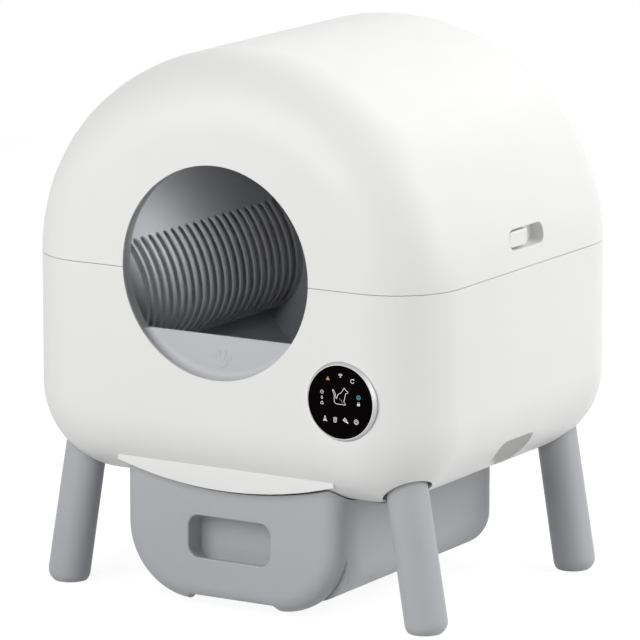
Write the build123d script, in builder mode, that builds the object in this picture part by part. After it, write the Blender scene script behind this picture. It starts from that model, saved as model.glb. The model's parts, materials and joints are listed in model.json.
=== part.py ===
"""Self-cleaning litter box: an arch-shaped body on four legs, a turning drum and a waste drawer.

Lengths are in mm and +Z is up. The entry faces -Y. The floor is at zero height, and the whole
depth, with the raised display, is centred on zero.
"""
import os
from math import acos, cos, pi, radians, sin, tan

from build123d import *

os.makedirs("parts", exist_ok=True)

# Body shells
BODY_WIDTH = 500.0
BODY_DEPTH = 450.0
BODY_TOP = 594.0
BODY_BOTTOM = 130.0
SEAM_BELOW_AXIS = 3.7
SHOULDER_ANGLE = 50.0
BODY_CORNER = 93.0
FRONT_ROUND = 76.0
REAR_ROUND = 84.0
CORNER_MARGIN = 6.0
SHELL_WALL = 3.0
SEAM_GAP = 0.6
LIP_HEIGHT = 8.0
LIP_ROOT = 8.0
LIP_WALL = 2.0
LIP_CLEARANCE = 0.5
SEAT_GAP = 0.3
OVERRUN = 20.0

# Apron under the front
APRON_SETBACK = 18.3
APRON_OVERHANG = 0.5
APRON_ABOVE_BOTTOM = 1.9
APRON_RISE = 19.5
APRON_WALL = 7.7

# Hand-holds low on both sides
HOLD_FROM_FRONT = 224.0
HOLD_LENGTH = 70.0
HOLD_HEIGHT = 48.5
HOLD_DEPTH = 60.0
HOLD_ROUND = 9.0

# Legs
LEG_INSET = 26.0
FRONT_LEG_FROM_FRONT = 57.5
REAR_LEG_FROM_REAR = 70.3
LEG_SPLAY_ANGLE = 9.6
LEG_FOOT_RADIUS = 22.8
LEG_TOP_RADIUS = 22.1
LEG_INSERT = 32.65
LEG_FOOT_ROUND = 14.5
LEG_TRIM = 3.0
LEG_HOLE_GAP = 4.5
PAD_RADIUS = 11.0
PAD_THICKNESS = 3.0
PAD_PROUD = 0.8
SOCKET_WALL = 7.0
SOCKET_DEPTH = 34.0
STUD_RADIUS = 4.0
STUD_GRIP = 20.0
NUT_RADIUS = 7.5
NUT_HEIGHT = 5.0
CELL_SIZE = 32.0
CELL_THICKNESS = 5.0

# Drum
DRUM_TOP_GAP = 26.8
DRUM_FLOOR_GAP = 34.2
DRUM_SIDE_GAP = 40.0
REAR_BAY = 84.0
ENTRY_RADIUS = 113.5
NECK_GAP = 1.2
NECK_COVER = 1.0
NECK_WALL = 2.2
NECK_ROLL = 1.0
DRUM_SETBACK = 14.0
DRUM_WALL = 3.0
DRUM_SHOULDER = 50.0
DRUM_SKIRT = 10.0
SILL_BELOW_AXIS = 68.0
SILL_WALL = 3.0
SILL_BLEND = 9.0
SILL_EDGE = 0.8
PAW_HEIGHT = 0.3
PAW_PAD_WIDTH = 14.0
PAW_PAD_HEIGHT = 10.0
PAW_TOE_WIDTH = 4.4
PAW_TOE_HEIGHT = 6.4
PAW_SPREAD = 11.5
PAW_BELOW_AXIS = 97.0
PAW_TOE_COUNT = 4
PAW_TOE_FIRST_ANGLE = 33.0
PAW_TOE_SWEEP_ANGLE = 114.0
PORT_SIDE_INSET = 8.0
PORT_END_INSET = 5.0
PORT_CORNER = 16.0
HUB_RADIUS = 22.0
HUB_HEIGHT = 6.0
MAGNET_RADIUS = 5.0
MAGNET_HEIGHT = 3.0
MAGNET_FROM_RING = 28.0

# Sieve inside the drum, on the left of the entry
SIEVE_REACH = 113.0
SIEVE_DROP = 60.0
SIEVE_HIGH_RADIUS = 108.0
SIEVE_LOW_RADIUS = 57.0
SIEVE_WALL = 2.4
SIEVE_HIGH_ANGLE = 40.0
SIEVE_SLOT_LOW_ANGLE = 64.0
SIEVE_SLOT_PITCH = 14.8
SIEVE_SLOT_WIDTH = 10.4
SIEVE_SLOT_FROM_FRONT = 51.0
SIEVE_SLOT_FROM_REAR = 12.0

# Drive
GEAR_MODULE = 4.0
RING_MARGIN = 8.0
PINION_TEETH = 14
PRESSURE_ANGLE = 20.0
ADDENDUM_SHARE = 0.8
DEDENDUM_SHARE = 1.0
TOOTH_BACKLASH = 0.3
MESH_GAP = 0.25
GEAR_WIDTH = 12.0
RING_RIM = 10.0
RING_SCREW_COUNT = 8
PINION_ANGLE = -35.0
PINION_END_GAP = 1.5
DRIVE_SHAFT_RADIUS = 4.0
DRIVE_HOLE_GAP = 4.0
GEARBOX_RADIUS = 18.5
GEARBOX_LENGTH = 22.0
MOTOR_RADIUS = 14.0
MOTOR_LENGTH = 26.0
GEARBOX_SCREW_ORBIT = 14.0
GEARBOX_SCREW_COUNT = 4
GEARBOX_SCREW_BITE = 5.5

# Rear bulkhead and hub
BULKHEAD_GAP = 4.0
BULKHEAD_WALL = 4.0
BULKHEAD_WIDTH = 300.0
BULKHEAD_SHOULDER = 150.0
BULKHEAD_POST = 110.0
BULKHEAD_CROWN = 40.0
BULKHEAD_ARM = 31.0
BULKHEAD_FOOT = 15.0
BULKHEAD_FOOT_WALL = 3.0
FOOT_SCREW_PITCH = 84.0
HUB_SHAFT_RADIUS = 10.0
BUSH_WALL = 5.0
BUSH_BOSS_WALL = 9.0
BUSH_LENGTH = 16.0
RUNNING_GAP = 0.06
CLIP_WALL = 4.0
CLIP_THICKNESS = 1.5
CLIP_GROOVE = 0.8
SHAFT_END = 3.0

# Support rollers under the drum
ROLLER_RADIUS = 14.0
ROLLER_WIDTH = 16.0
ROLLER_ANGLE = 33.0
ROLLER_GAP = 0.3
ROLLER_FROM_ROUND = 2.8
AXLE_RADIUS = 3.0
YOKE_WALL = 4.0
YOKE_SIDE_GAP = 0.6
YOKE_HALF_WIDTH = 12.0
YOKE_FOOT = 14.0
YOKE_FOOT_WALL = 3.0

# Chute between drum and drawer
CHUTE_SIDE_INSET = 44.5
CHUTE_FROM_DRUM_BACK = 38.0
CHUTE_SCREW_SHARE = 0.25
CHUTE_WALL = 3.0
CHUTE_HEIGHT = 28.0
CHUTE_FLANGE = 10.0
CHUTE_FLANGE_WALL = 2.5
CHUTE_CORNER = 14.0
SEAL_WIDTH = 8.0
SEAL_HEIGHT = 3.0

# Waste drawer
DRAWER_SETBACK = 26.5
DRAWER_FROM_SIDE = 117.5
DRAWER_FROM_REAR = 75.6
DRAWER_BOTTOM = 3.7
DRAWER_CORNER = 79.0
DRAWER_GAP = 1.5
PANEL_DEPTH = 23.0
PANEL_TOP_GAP = 3.2
PANEL_WALL = 3.0
PANEL_ROUND = 20.0
HANDLE_WIDTH = 101.0
HANDLE_HEIGHT = 45.0
HANDLE_ABOVE_MIDDLE = 10.8
HANDLE_DEPTH = 26.0
HANDLE_DROP_ANGLE = 15.0
HANDLE_CORNER = 12.5
HANDLE_WALL = 2.5
HANDLE_LIP = 2.0
NOTCH_WIDTH = 105.0
NOTCH_HEIGHT = 8.6
NOTCH_FLARE = 6.0
BIN_INSET = 1.0
BIN_LIFT = 15.5
BIN_CORNER = 38.0
BIN_COLLAR = 32.0
BIN_WALL = 2.5
BIN_REAR_ROUND = 30.0
BIN_BELOW_BODY = 6.0
BIN_FLANGE = 8.0
BIN_FLANGE_WALL = 2.5
BAG_FRAME_WALL = 2.5
BAG_FRAME_WIDTH = 12.0
BAG_SKIRT = 10.0
BAG_SKIRT_WALL = 2.0
RAIL_WALL = 2.5
RAIL_SETBACK = 30.0
RAIL_SIDE_GAP = 1.5
RAIL_REST_GAP = 0.3
RAIL_FOOT = 12.0
RAIL_SCREW_INSET = 30.0
PANEL_SCREW_RISE = 26.0
PANEL_SCREW_BITE = 7.5

# Display
DISPLAY_FROM_SIDE = 95.7
DISPLAY_BELOW_AXIS = 118.4
DISPLAY_PROUD = 3.5
DISPLAY_RADIUS = 41.4
DISPLAY_FRONT_RADIUS = 39.3
DISPLAY_ROOT = 7.5
GLASS_RADIUS = 38.5
GLASS_THICKNESS = 2.6
GLASS_RECESS = 0.3
DISPLAY_LEDGE = 4.0
DISPLAY_LEDGE_WALL = 1.6
DISPLAY_SLEEVE_WALL = 2.4
DISPLAY_BOARD_GAP = 0.5
BOARD_THICKNESS = 1.6

# Latches in the cover's sides
LATCH_FROM_FRONT = 220.5
LATCH_ABOVE_SEAM = 32.0
LATCH_LENGTH = 72.5
LATCH_HEIGHT = 22.0
LATCH_CORNER = 9.0
LATCH_DEPTH = 17.0
LATCH_FLOOR = 2.5
LATCH_WALL = 2.5
THUMB_LENGTH = 38.0
THUMB_GAP = 1.2
THUMB_SIDE_GAP = 2.5
THUMB_RECESS = 3.1
THUMB_EDGE = 1.2
STEM_LENGTH = 10.0
STEM_HEIGHT = 8.0
STEM_GAP = 0.5
LATCH_TRAVEL = 24.0
HOOK_THICKNESS = 3.0
HOOK_LENGTH = 24.0
HOOK_HEIGHT = 22.0
HOOK_TONGUE = 12.0
HOOK_REACH = 46.0

# Electronics
CONTROL_WIDTH = 110.0
CONTROL_HEIGHT = 70.0
CONTROL_X = -90.0
CONTROL_ABOVE_FLOOR = 92.0
STANDOFF_RADIUS = 3.5
STANDOFF_HEIGHT = 6.0
STANDOFF_INSET = 6.0
CHIP_SIZE = 16.0
CHIP_HEIGHT = 2.5
CAPACITOR_RADIUS = 5.0
CAPACITOR_HEIGHT = 12.0
CAPACITOR_ACROSS_SHARE = -0.33
CAPACITOR_UP_SHARES = (0.0, 0.25)
PLUG_LENGTH = 16.0
PLUG_HEIGHT = 12.0
SENSOR_SIZE = 14.0
SENSOR_THICKNESS = 6.0
INLET_X = 95.0
INLET_HEIGHT = 240.0
INLET_RADIUS = 10.5
INLET_FLANGE = 4.0
INLET_FLANGE_WALL = 3.0
INLET_SOCKET_RADIUS = 2.9
INLET_SOCKET_DEPTH = 9.0
INLET_PIN_RADIUS = 1.0
INLET_PIN_RECESS = 1.5
INLET_BODY_DEPTH = 14.0
HARNESS_RADIUS = 2.2
HARNESS_BEND = 9.0
HARNESS_BELOW_BOARD = 18.0
HARNESS_FROM_WALL = 9.0
HARNESS_FRONT_RUN = 24.0
HARNESS_BEND_OFFSET = 42.0
HARNESS_DROP = 28.0
HARNESS_CLIP_SIZE = 10.0
HARNESS_CLIP_COUNT = 3
HARNESS_CLIP_MARGIN = 22.0

# Screws
SCREW_RADIUS = 1.5
SCREW_HEAD_RADIUS = 3.0
SCREW_HEAD_HEIGHT = 2.0
SCREW_BITE = 2.0
SCREW_GAP = 0.05

# Places that follow from the sizes
HALF_WIDTH = BODY_WIDTH / 2
BODY_FRONT_Y = (DISPLAY_PROUD - BODY_DEPTH) / 2
BODY_REAR_Y = BODY_FRONT_Y + BODY_DEPTH
FLOOR_TOP = BODY_BOTTOM + SHELL_WALL
DRUM_LOW = FLOOR_TOP + DRUM_FLOOR_GAP
DRUM_HIGH = BODY_TOP - DRUM_TOP_GAP
DRUM_AXIS_HEIGHT = (DRUM_LOW + DRUM_HIGH) / 2
DRUM_RADIUS = min((DRUM_HIGH - DRUM_LOW) / 2, HALF_WIDTH - DRUM_SIDE_GAP)
SEAM_HEIGHT = DRUM_AXIS_HEIGHT - SEAM_BELOW_AXIS

# Two radii of the arch over the seam, which meet at the shoulder angle
ARCH_LOW_SHARE = 1 - sin(radians(SHOULDER_ANGLE))
ARCH_NARROW_SHARE = 1 - cos(radians(SHOULDER_ANGLE))
ARCH_BALANCE_SHARE = ARCH_LOW_SHARE + ARCH_NARROW_SHARE - 1
ARCH_RISE = BODY_TOP - SEAM_HEIGHT
SIDE_RADIUS = (HALF_WIDTH * ARCH_LOW_SHARE - ARCH_RISE * (1 - ARCH_NARROW_SHARE)) / ARCH_BALANCE_SHARE
CROWN_RADIUS = (ARCH_RISE * ARCH_NARROW_SHARE - HALF_WIDTH * (1 - ARCH_LOW_SHARE)) / ARCH_BALANCE_SHARE
EDGE_LIMIT = min(BODY_CORNER, SIDE_RADIUS, CROWN_RADIUS) - CORNER_MARGIN
FRONT_EDGE = min(FRONT_ROUND, EDGE_LIMIT)
REAR_EDGE = min(REAR_ROUND, EDGE_LIMIT)

NECK_INNER = ENTRY_RADIUS + NECK_COVER
NECK_OUTER = NECK_INNER + NECK_WALL
DRUM_FRONT_Y = BODY_FRONT_Y + DRUM_SETBACK
DRUM_REAR_Y = BODY_REAR_Y - REAR_BAY
DRUM_BACK_Y = DRUM_REAR_Y - DRUM_WALL
DRUM_LENGTH = DRUM_REAR_Y - DRUM_FRONT_Y
DRUM_TURN = min(DRUM_SHOULDER, DRUM_RADIUS - NECK_OUTER - CORNER_MARGIN)
DRUM_JOINT_Y = DRUM_FRONT_Y + DRUM_TURN + DRUM_SKIRT
DRUM_AXIS = Axis((0, 0, DRUM_AXIS_HEIGHT), (0, 1, 0))
DISPLAY_X = HALF_WIDTH - DISPLAY_FROM_SIDE
DISPLAY_HEIGHT = DRUM_AXIS_HEIGHT - DISPLAY_BELOW_AXIS
DRAWER_WIDTH = BODY_WIDTH - 2 * DRAWER_FROM_SIDE
APRON_WIDTH = DRAWER_WIDTH + 2 * APRON_OVERHANG
LEG_LENGTH = (BODY_BOTTOM + LEG_INSERT) / cos(radians(LEG_SPLAY_ANGLE))
BULKHEAD_Y = DRUM_REAR_Y + GEAR_WIDTH + BULKHEAD_GAP
BULKHEAD_REAR_Y = BULKHEAD_Y + BULKHEAD_WALL
LEG_X = HALF_WIDTH - LEG_INSET
LEG_PLACES = {
    "front_left": (-1, BODY_FRONT_Y + FRONT_LEG_FROM_FRONT),
    "front_right": (1, BODY_FRONT_Y + FRONT_LEG_FROM_FRONT),
    "rear_left": (-1, BODY_REAR_Y - REAR_LEG_FROM_REAR),
    "rear_right": (1, BODY_REAR_Y - REAR_LEG_FROM_REAR),
}


def save(part, label):
    """Name one finished piece and write it."""
    part.label = label
    export_step(part, f"parts/{label}.step")


def front_plane(y, x=0.0, z=0.0):
    """Upright plane seen from the front: sketch x is X and sketch y is Z."""
    return Plane(origin=(x, y, z), x_dir=(1, 0, 0), z_dir=(0, -1, 0))


def side_plane(x, y=0.0, z=0.0):
    """Upright plane seen from the right: sketch x is Y and sketch y is Z."""
    return Plane(origin=(x, y, z), x_dir=(0, 1, 0), z_dir=(1, 0, 0))


def level_plane(z, x=0.0, y=0.0):
    """Level plane seen from above."""
    return Plane(origin=(x, y, z), x_dir=(1, 0, 0), z_dir=(0, 0, 1))


def body_form(inset):
    """The whole arch-shaped body, drawn in by the inset on every side."""
    side_x = HALF_WIDTH - SIDE_RADIUS
    corner_x = HALF_WIDTH - BODY_CORNER
    corner_z = BODY_BOTTOM + BODY_CORNER
    wall_x = HALF_WIDTH - inset
    floor_z = BODY_BOTTOM + inset
    with BuildPart() as form:
        with BuildSketch(front_plane(BODY_REAR_Y - inset)):
            with BuildLine():
                CenterArc((side_x, SEAM_HEIGHT), SIDE_RADIUS - inset, 0, SHOULDER_ANGLE)
                CenterArc((0, BODY_TOP - CROWN_RADIUS), CROWN_RADIUS - inset, SHOULDER_ANGLE,
                          180 - 2 * SHOULDER_ANGLE)
                CenterArc((-side_x, SEAM_HEIGHT), SIDE_RADIUS - inset, 180 - SHOULDER_ANGLE,
                          SHOULDER_ANGLE)
                Line((-wall_x, SEAM_HEIGHT), (-wall_x, corner_z))
                CenterArc((-corner_x, corner_z), BODY_CORNER - inset, 180, 90)
                Line((-corner_x, floor_z), (corner_x, floor_z))
                CenterArc((corner_x, corner_z), BODY_CORNER - inset, 270, 90)
                Line((wall_x, corner_z), (wall_x, SEAM_HEIGHT))
            make_face()
        extrude(amount=BODY_DEPTH - 2 * inset)
        fillet(form.faces().sort_by(Axis.Y)[0].edges(), radius=FRONT_EDGE - inset)
        fillet(form.faces().sort_by(Axis.Y)[-1].edges(), radius=REAR_EDGE - inset)
    return form.part


def hand_holds(grow):
    """Finger pockets of both sides, larger by the grow on every face."""
    drop = HOLD_HEIGHT + OVERRUN + 2 * grow
    with BuildPart() as pockets:
        centre_z = BODY_BOTTOM + HOLD_HEIGHT + grow - drop / 2
        back_x = HALF_WIDTH - HOLD_DEPTH - grow
        with BuildSketch(side_plane(back_x, BODY_FRONT_Y + HOLD_FROM_FRONT, centre_z)):
            RectangleRounded(HOLD_LENGTH + 2 * grow, drop, HOLD_ROUND + grow)
        extrude(amount=HOLD_DEPTH + grow + OVERRUN)
        mirror(about=Plane.YZ)
    return pockets.part


def screw_group(places, shank_length):
    """Pan-head screws: each head stands on its plane and each shank runs into it."""
    with BuildPart() as screws:
        for place in places:
            with BuildSketch(place):
                Circle(SCREW_HEAD_RADIUS)
            extrude(amount=SCREW_HEAD_HEIGHT)
            with BuildSketch(place):
                Circle(SCREW_RADIUS)
            extrude(amount=-shank_length)
    return screws.part


def screw_holes(places, depth):
    """Holes for a group of screws."""
    with BuildPart() as holes:
        for place in places:
            with BuildSketch(place):
                Circle(SCREW_RADIUS + SCREW_GAP)
            extrude(amount=-depth)
    return holes.part


body_outer = body_form(0)
body_inner = body_form(SHELL_WALL)
body_seat = body_form(SHELL_WALL + SEAT_GAP)
body_clear = body_form(-DRAWER_GAP)

# Frames of the legs, each with its own axis through the foot
LEG_LEAN = sin(radians(LEG_SPLAY_ANGLE))
LEG_UPRIGHT = cos(radians(LEG_SPLAY_ANGLE))
LEG_DIRECTION = {side: (-side * LEG_LEAN, 0, LEG_UPRIGHT) for side in (-1, 1)}
LEG_ACROSS = {side: (LEG_UPRIGHT, 0, side * LEG_LEAN) for side in (-1, 1)}


def leg_plane(side, y, along=0.0):
    """Plane square to a leg, the given way up its axis from the floor."""
    up = LEG_DIRECTION[side]
    origin = (side * LEG_X + along * up[0], y, along * up[2])
    return Plane(origin=origin, x_dir=LEG_ACROSS[side], z_dir=up)


# Rollers, and the chute that runs from behind them to near the drum's back
YOKE_DEPTH = ROLLER_WIDTH + 2 * YOKE_SIDE_GAP + 2 * YOKE_WALL
ROLLER_Y = BODY_FRONT_Y + FRONT_EDGE + ROLLER_FROM_ROUND
ROLLER_ORBIT = DRUM_RADIUS + ROLLER_RADIUS + ROLLER_GAP
ROLLER_X = ROLLER_ORBIT * sin(radians(ROLLER_ANGLE))
ROLLER_Z = DRUM_AXIS_HEIGHT - ROLLER_ORBIT * cos(radians(ROLLER_ANGLE))
CHUTE_FRONT_Y = ROLLER_Y + YOKE_DEPTH / 2 + YOKE_SIDE_GAP + CHUTE_FLANGE + CHUTE_WALL
CHUTE_LENGTH = DRUM_BACK_Y - CHUTE_FROM_DRUM_BACK - CHUTE_FRONT_Y
CHUTE_Y = CHUTE_FRONT_Y + CHUTE_LENGTH / 2
CHUTE_WIDTH = DRAWER_WIDTH - 2 * CHUTE_SIDE_INSET

# Screw places that several pieces share
CHUTE_SCREW_X = CHUTE_WIDTH / 2 + CHUTE_WALL + CHUTE_FLANGE / 2
CHUTE_SCREW_Y = CHUTE_LENGTH * CHUTE_SCREW_SHARE
CHUTE_SCREWS = [
    level_plane(FLOOR_TOP + CHUTE_FLANGE_WALL, side * CHUTE_SCREW_X, CHUTE_Y + end * CHUTE_SCREW_Y)
    for side in (-1, 1) for end in (-1, 1)
]
FOOT_SCREWS = [
    level_plane(FLOOR_TOP + BULKHEAD_FOOT_WALL, side * FOOT_SCREW_PITCH / 2,
                BULKHEAD_Y - BULKHEAD_FOOT / 2)
    for side in (-1, 1)
]
YOKE_SCREW_X = ROLLER_X + YOKE_HALF_WIDTH + YOKE_FOOT / 2
YOKE_SCREWS = [
    level_plane(FLOOR_TOP + YOKE_FOOT_WALL, side * YOKE_SCREW_X, ROLLER_Y) for side in (-1, 1)
]
RAIL_FRONT_Y = BODY_FRONT_Y + FRONT_EDGE + RAIL_SETBACK
RAIL_REAR_Y = BODY_REAR_Y - REAR_EDGE
BIN_HALF = DRAWER_WIDTH / 2 - BIN_INSET
BIN_TOP = BODY_BOTTOM - BIN_BELOW_BODY
RAIL_INNER_X = BIN_HALF + BIN_FLANGE + RAIL_SIDE_GAP
RAIL_SCREW_X = RAIL_INNER_X + RAIL_WALL + RAIL_FOOT / 2
RAIL_SCREWS = {
    side: [
        Plane(origin=(side * RAIL_SCREW_X, y, BODY_BOTTOM - RAIL_WALL), x_dir=(1, 0, 0),
              z_dir=(0, 0, -1))
        for y in (RAIL_FRONT_Y + RAIL_SCREW_INSET, RAIL_REAR_Y - RAIL_SCREW_INSET)
    ]
    for side in (-1, 1)
}


def chute_outline(z, grow):
    """The chute's rounded outline at a height, larger by the grow on every side."""
    with BuildSketch(level_plane(z, y=CHUTE_Y)) as outline:
        RectangleRounded(CHUTE_WIDTH + 2 * grow, CHUTE_LENGTH + 2 * grow, CHUTE_CORNER + grow)
    return outline.sketch


# Lower housing
with BuildPart() as housing_room:
    add(body_inner)
    add(hand_holds(SHELL_WALL), mode=Mode.SUBTRACT)

LIP_OUTER = body_form(SHELL_WALL + LIP_CLEARANCE)
LIP_INNER = body_form(SHELL_WALL + LIP_CLEARANCE + LIP_WALL)
with BuildPart() as seam_lip:
    add(LIP_OUTER)
    add(LIP_INNER, mode=Mode.SUBTRACT)
    split(bisect_by=Plane.XY.offset(SEAM_HEIGHT + LIP_HEIGHT), keep=Keep.BOTTOM)
    split(bisect_by=Plane.XY.offset(SEAM_HEIGHT - LIP_ROOT), keep=Keep.TOP)

with BuildPart() as seam_root:
    add(body_form(SHELL_WALL / 2))
    add(LIP_INNER, mode=Mode.SUBTRACT)
    split(bisect_by=Plane.XY.offset(SEAM_HEIGHT - SEAM_GAP), keep=Keep.BOTTOM)
    split(bisect_by=Plane.XY.offset(SEAM_HEIGHT - LIP_ROOT), keep=Keep.TOP)

APRON_Y = BODY_FRONT_Y + APRON_SETBACK
APRON_MIDDLE_Z = BODY_BOTTOM + APRON_ABOVE_BOTTOM
with BuildPart() as lower_housing:
    add(body_outer)
    split(bisect_by=Plane.XY.offset(SEAM_HEIGHT - SEAM_GAP / 2), keep=Keep.BOTTOM)
    with BuildSketch(front_plane(APRON_Y)):
        with BuildLine():
            ThreePointArc((-APRON_WIDTH / 2, APRON_MIDDLE_Z + APRON_RISE), (0, APRON_MIDDLE_Z),
                          (APRON_WIDTH / 2, APRON_MIDDLE_Z + APRON_RISE))
            Polyline((APRON_WIDTH / 2, APRON_MIDDLE_Z + APRON_RISE),
                     (APRON_WIDTH / 2, BODY_BOTTOM + FRONT_EDGE),
                     (-APRON_WIDTH / 2, BODY_BOTTOM + FRONT_EDGE),
                     (-APRON_WIDTH / 2, APRON_MIDDLE_Z + APRON_RISE))
        make_face()
    extrude(amount=-APRON_WALL)
    add(housing_room.part, mode=Mode.SUBTRACT)
    add(hand_holds(0), mode=Mode.SUBTRACT)
    add(seam_root.part)
    add(seam_lip.part)
    with BuildSketch(front_plane(BODY_FRONT_Y - OVERRUN, z=DRUM_AXIS_HEIGHT)):
        Circle(ENTRY_RADIUS)
    extrude(amount=-(OVERRUN + FRONT_EDGE / 2), mode=Mode.SUBTRACT)
    with BuildSketch(front_plane(BODY_FRONT_Y + SHELL_WALL, z=DRUM_AXIS_HEIGHT)):
        Circle(NECK_OUTER + NECK_GAP)
    extrude(amount=-FRONT_EDGE / 2, mode=Mode.SUBTRACT)
    with BuildSketch(front_plane(BODY_FRONT_Y - OVERRUN, DISPLAY_X, DISPLAY_HEIGHT)):
        Circle(DISPLAY_RADIUS + SEAT_GAP)
    extrude(amount=-(OVERRUN + FRONT_EDGE / 2), mode=Mode.SUBTRACT)
    with BuildSketch(front_plane(BODY_REAR_Y + OVERRUN, INLET_X, INLET_HEIGHT)):
        Circle(INLET_RADIUS + SEAT_GAP)
    extrude(amount=OVERRUN + REAR_EDGE / 2, mode=Mode.SUBTRACT)
    chute_cut = chute_outline(BODY_BOTTOM - OVERRUN, CHUTE_WALL + SEAT_GAP)
    extrude(chute_cut, amount=2 * OVERRUN + SHELL_WALL, mode=Mode.SUBTRACT)
    for leg_side, leg_y in LEG_PLACES.values():
        with BuildSketch(leg_plane(leg_side, leg_y)):
            Circle(LEG_TOP_RADIUS + LEG_HOLE_GAP)
        extrude(amount=LEG_LENGTH, mode=Mode.SUBTRACT)
    add(screw_holes(CHUTE_SCREWS, CHUTE_FLANGE_WALL + SCREW_BITE + SCREW_GAP), mode=Mode.SUBTRACT)
    add(screw_holes(FOOT_SCREWS, BULKHEAD_FOOT_WALL + SCREW_BITE + SCREW_GAP), mode=Mode.SUBTRACT)
    add(screw_holes(YOKE_SCREWS, YOKE_FOOT_WALL + SCREW_BITE + SCREW_GAP), mode=Mode.SUBTRACT)
    for rail_side in (-1, 1):
        add(screw_holes(RAIL_SCREWS[rail_side], RAIL_WALL + SCREW_BITE + SCREW_GAP), mode=Mode.SUBTRACT)
save(lower_housing.part, "lower_housing")

# Upper cover with its latch pockets
LATCH_Y = BODY_FRONT_Y + LATCH_FROM_FRONT
LATCH_Z = SEAM_HEIGHT + LATCH_ABOVE_SEAM
LATCH_FLOOR_X = HALF_WIDTH - LATCH_DEPTH
LATCH_BACK_X = LATCH_FLOOR_X - LATCH_FLOOR
THUMB_Y = LATCH_Y - LATCH_LENGTH / 2 + THUMB_GAP + THUMB_LENGTH / 2
with BuildPart() as latch_boss:
    with BuildSketch(side_plane(LATCH_BACK_X, LATCH_Y, LATCH_Z)):
        RectangleRounded(LATCH_LENGTH + 2 * LATCH_WALL, LATCH_HEIGHT + 2 * LATCH_WALL,
                         LATCH_CORNER + LATCH_WALL)
    extrude(amount=LATCH_FLOOR + LATCH_DEPTH)
    add(body_form(SHELL_WALL / 2), mode=Mode.INTERSECT)
    mirror(about=Plane.YZ)

with BuildPart() as latch_room:
    with BuildSketch(side_plane(LATCH_FLOOR_X, LATCH_Y, LATCH_Z)):
        RectangleRounded(LATCH_LENGTH, LATCH_HEIGHT, LATCH_CORNER)
    extrude(amount=LATCH_DEPTH + OVERRUN)
    with BuildSketch(side_plane(LATCH_BACK_X - OVERRUN, THUMB_Y + LATCH_TRAVEL / 2, LATCH_Z)):
        Rectangle(STEM_LENGTH + LATCH_TRAVEL + 2 * STEM_GAP, STEM_HEIGHT + 2 * STEM_GAP)
    extrude(amount=OVERRUN + LATCH_FLOOR + LATCH_DEPTH / 2)
    mirror(about=Plane.YZ)

with BuildPart() as upper_cover:
    add(body_outer)
    add(body_inner, mode=Mode.SUBTRACT)
    split(bisect_by=Plane.XY.offset(SEAM_HEIGHT + SEAM_GAP / 2), keep=Keep.TOP)
    add(latch_boss.part)
    add(latch_room.part, mode=Mode.SUBTRACT)
    with BuildSketch(front_plane(BODY_FRONT_Y - OVERRUN, z=DRUM_AXIS_HEIGHT)):
        Circle(ENTRY_RADIUS)
    extrude(amount=-(OVERRUN + FRONT_EDGE / 2), mode=Mode.SUBTRACT)
save(upper_cover.part, "upper_cover")

# Latch thumbs and the hooks behind them
THUMB_X = LATCH_FLOOR_X + SEAT_GAP
HOOK_X = LATCH_BACK_X - SEAT_GAP - HOOK_THICKNESS
with BuildPart() as latch_thumb_right:
    with BuildSketch(side_plane(THUMB_X, THUMB_Y, LATCH_Z)) as thumb_face:
        Rectangle(THUMB_LENGTH, LATCH_HEIGHT - 2 * THUMB_SIDE_GAP)
        fillet(thumb_face.vertices().group_by(Axis.X)[0], radius=LATCH_CORNER - THUMB_SIDE_GAP)
    extrude(amount=LATCH_DEPTH - SEAT_GAP - THUMB_RECESS)
    chamfer(latch_thumb_right.faces().sort_by(Axis.X)[-1].edges(), length=THUMB_EDGE)
    with BuildSketch(side_plane(HOOK_X + HOOK_THICKNESS, THUMB_Y, LATCH_Z)):
        Rectangle(STEM_LENGTH, STEM_HEIGHT)
    extrude(amount=THUMB_X - HOOK_X - HOOK_THICKNESS)
save(latch_thumb_right.part, "latch_thumb_right")

with BuildPart() as latch_thumb_left:
    mirror(latch_thumb_right.part, about=Plane.YZ)
save(latch_thumb_left.part, "latch_thumb_left")

with BuildPart() as latch_hook_right:
    with BuildSketch(side_plane(HOOK_X, THUMB_Y, LATCH_Z)):
        RectangleRounded(HOOK_LENGTH, HOOK_HEIGHT, SHELL_WALL)
        with Locations((0, -HOOK_REACH / 2)):
            Rectangle(HOOK_TONGUE, HOOK_REACH)
    extrude(amount=HOOK_THICKNESS)
save(latch_hook_right.part, "latch_hook_right")

with BuildPart() as latch_hook_left:
    mirror(latch_hook_right.part, about=Plane.YZ)
save(latch_hook_left.part, "latch_hook_left")

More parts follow.
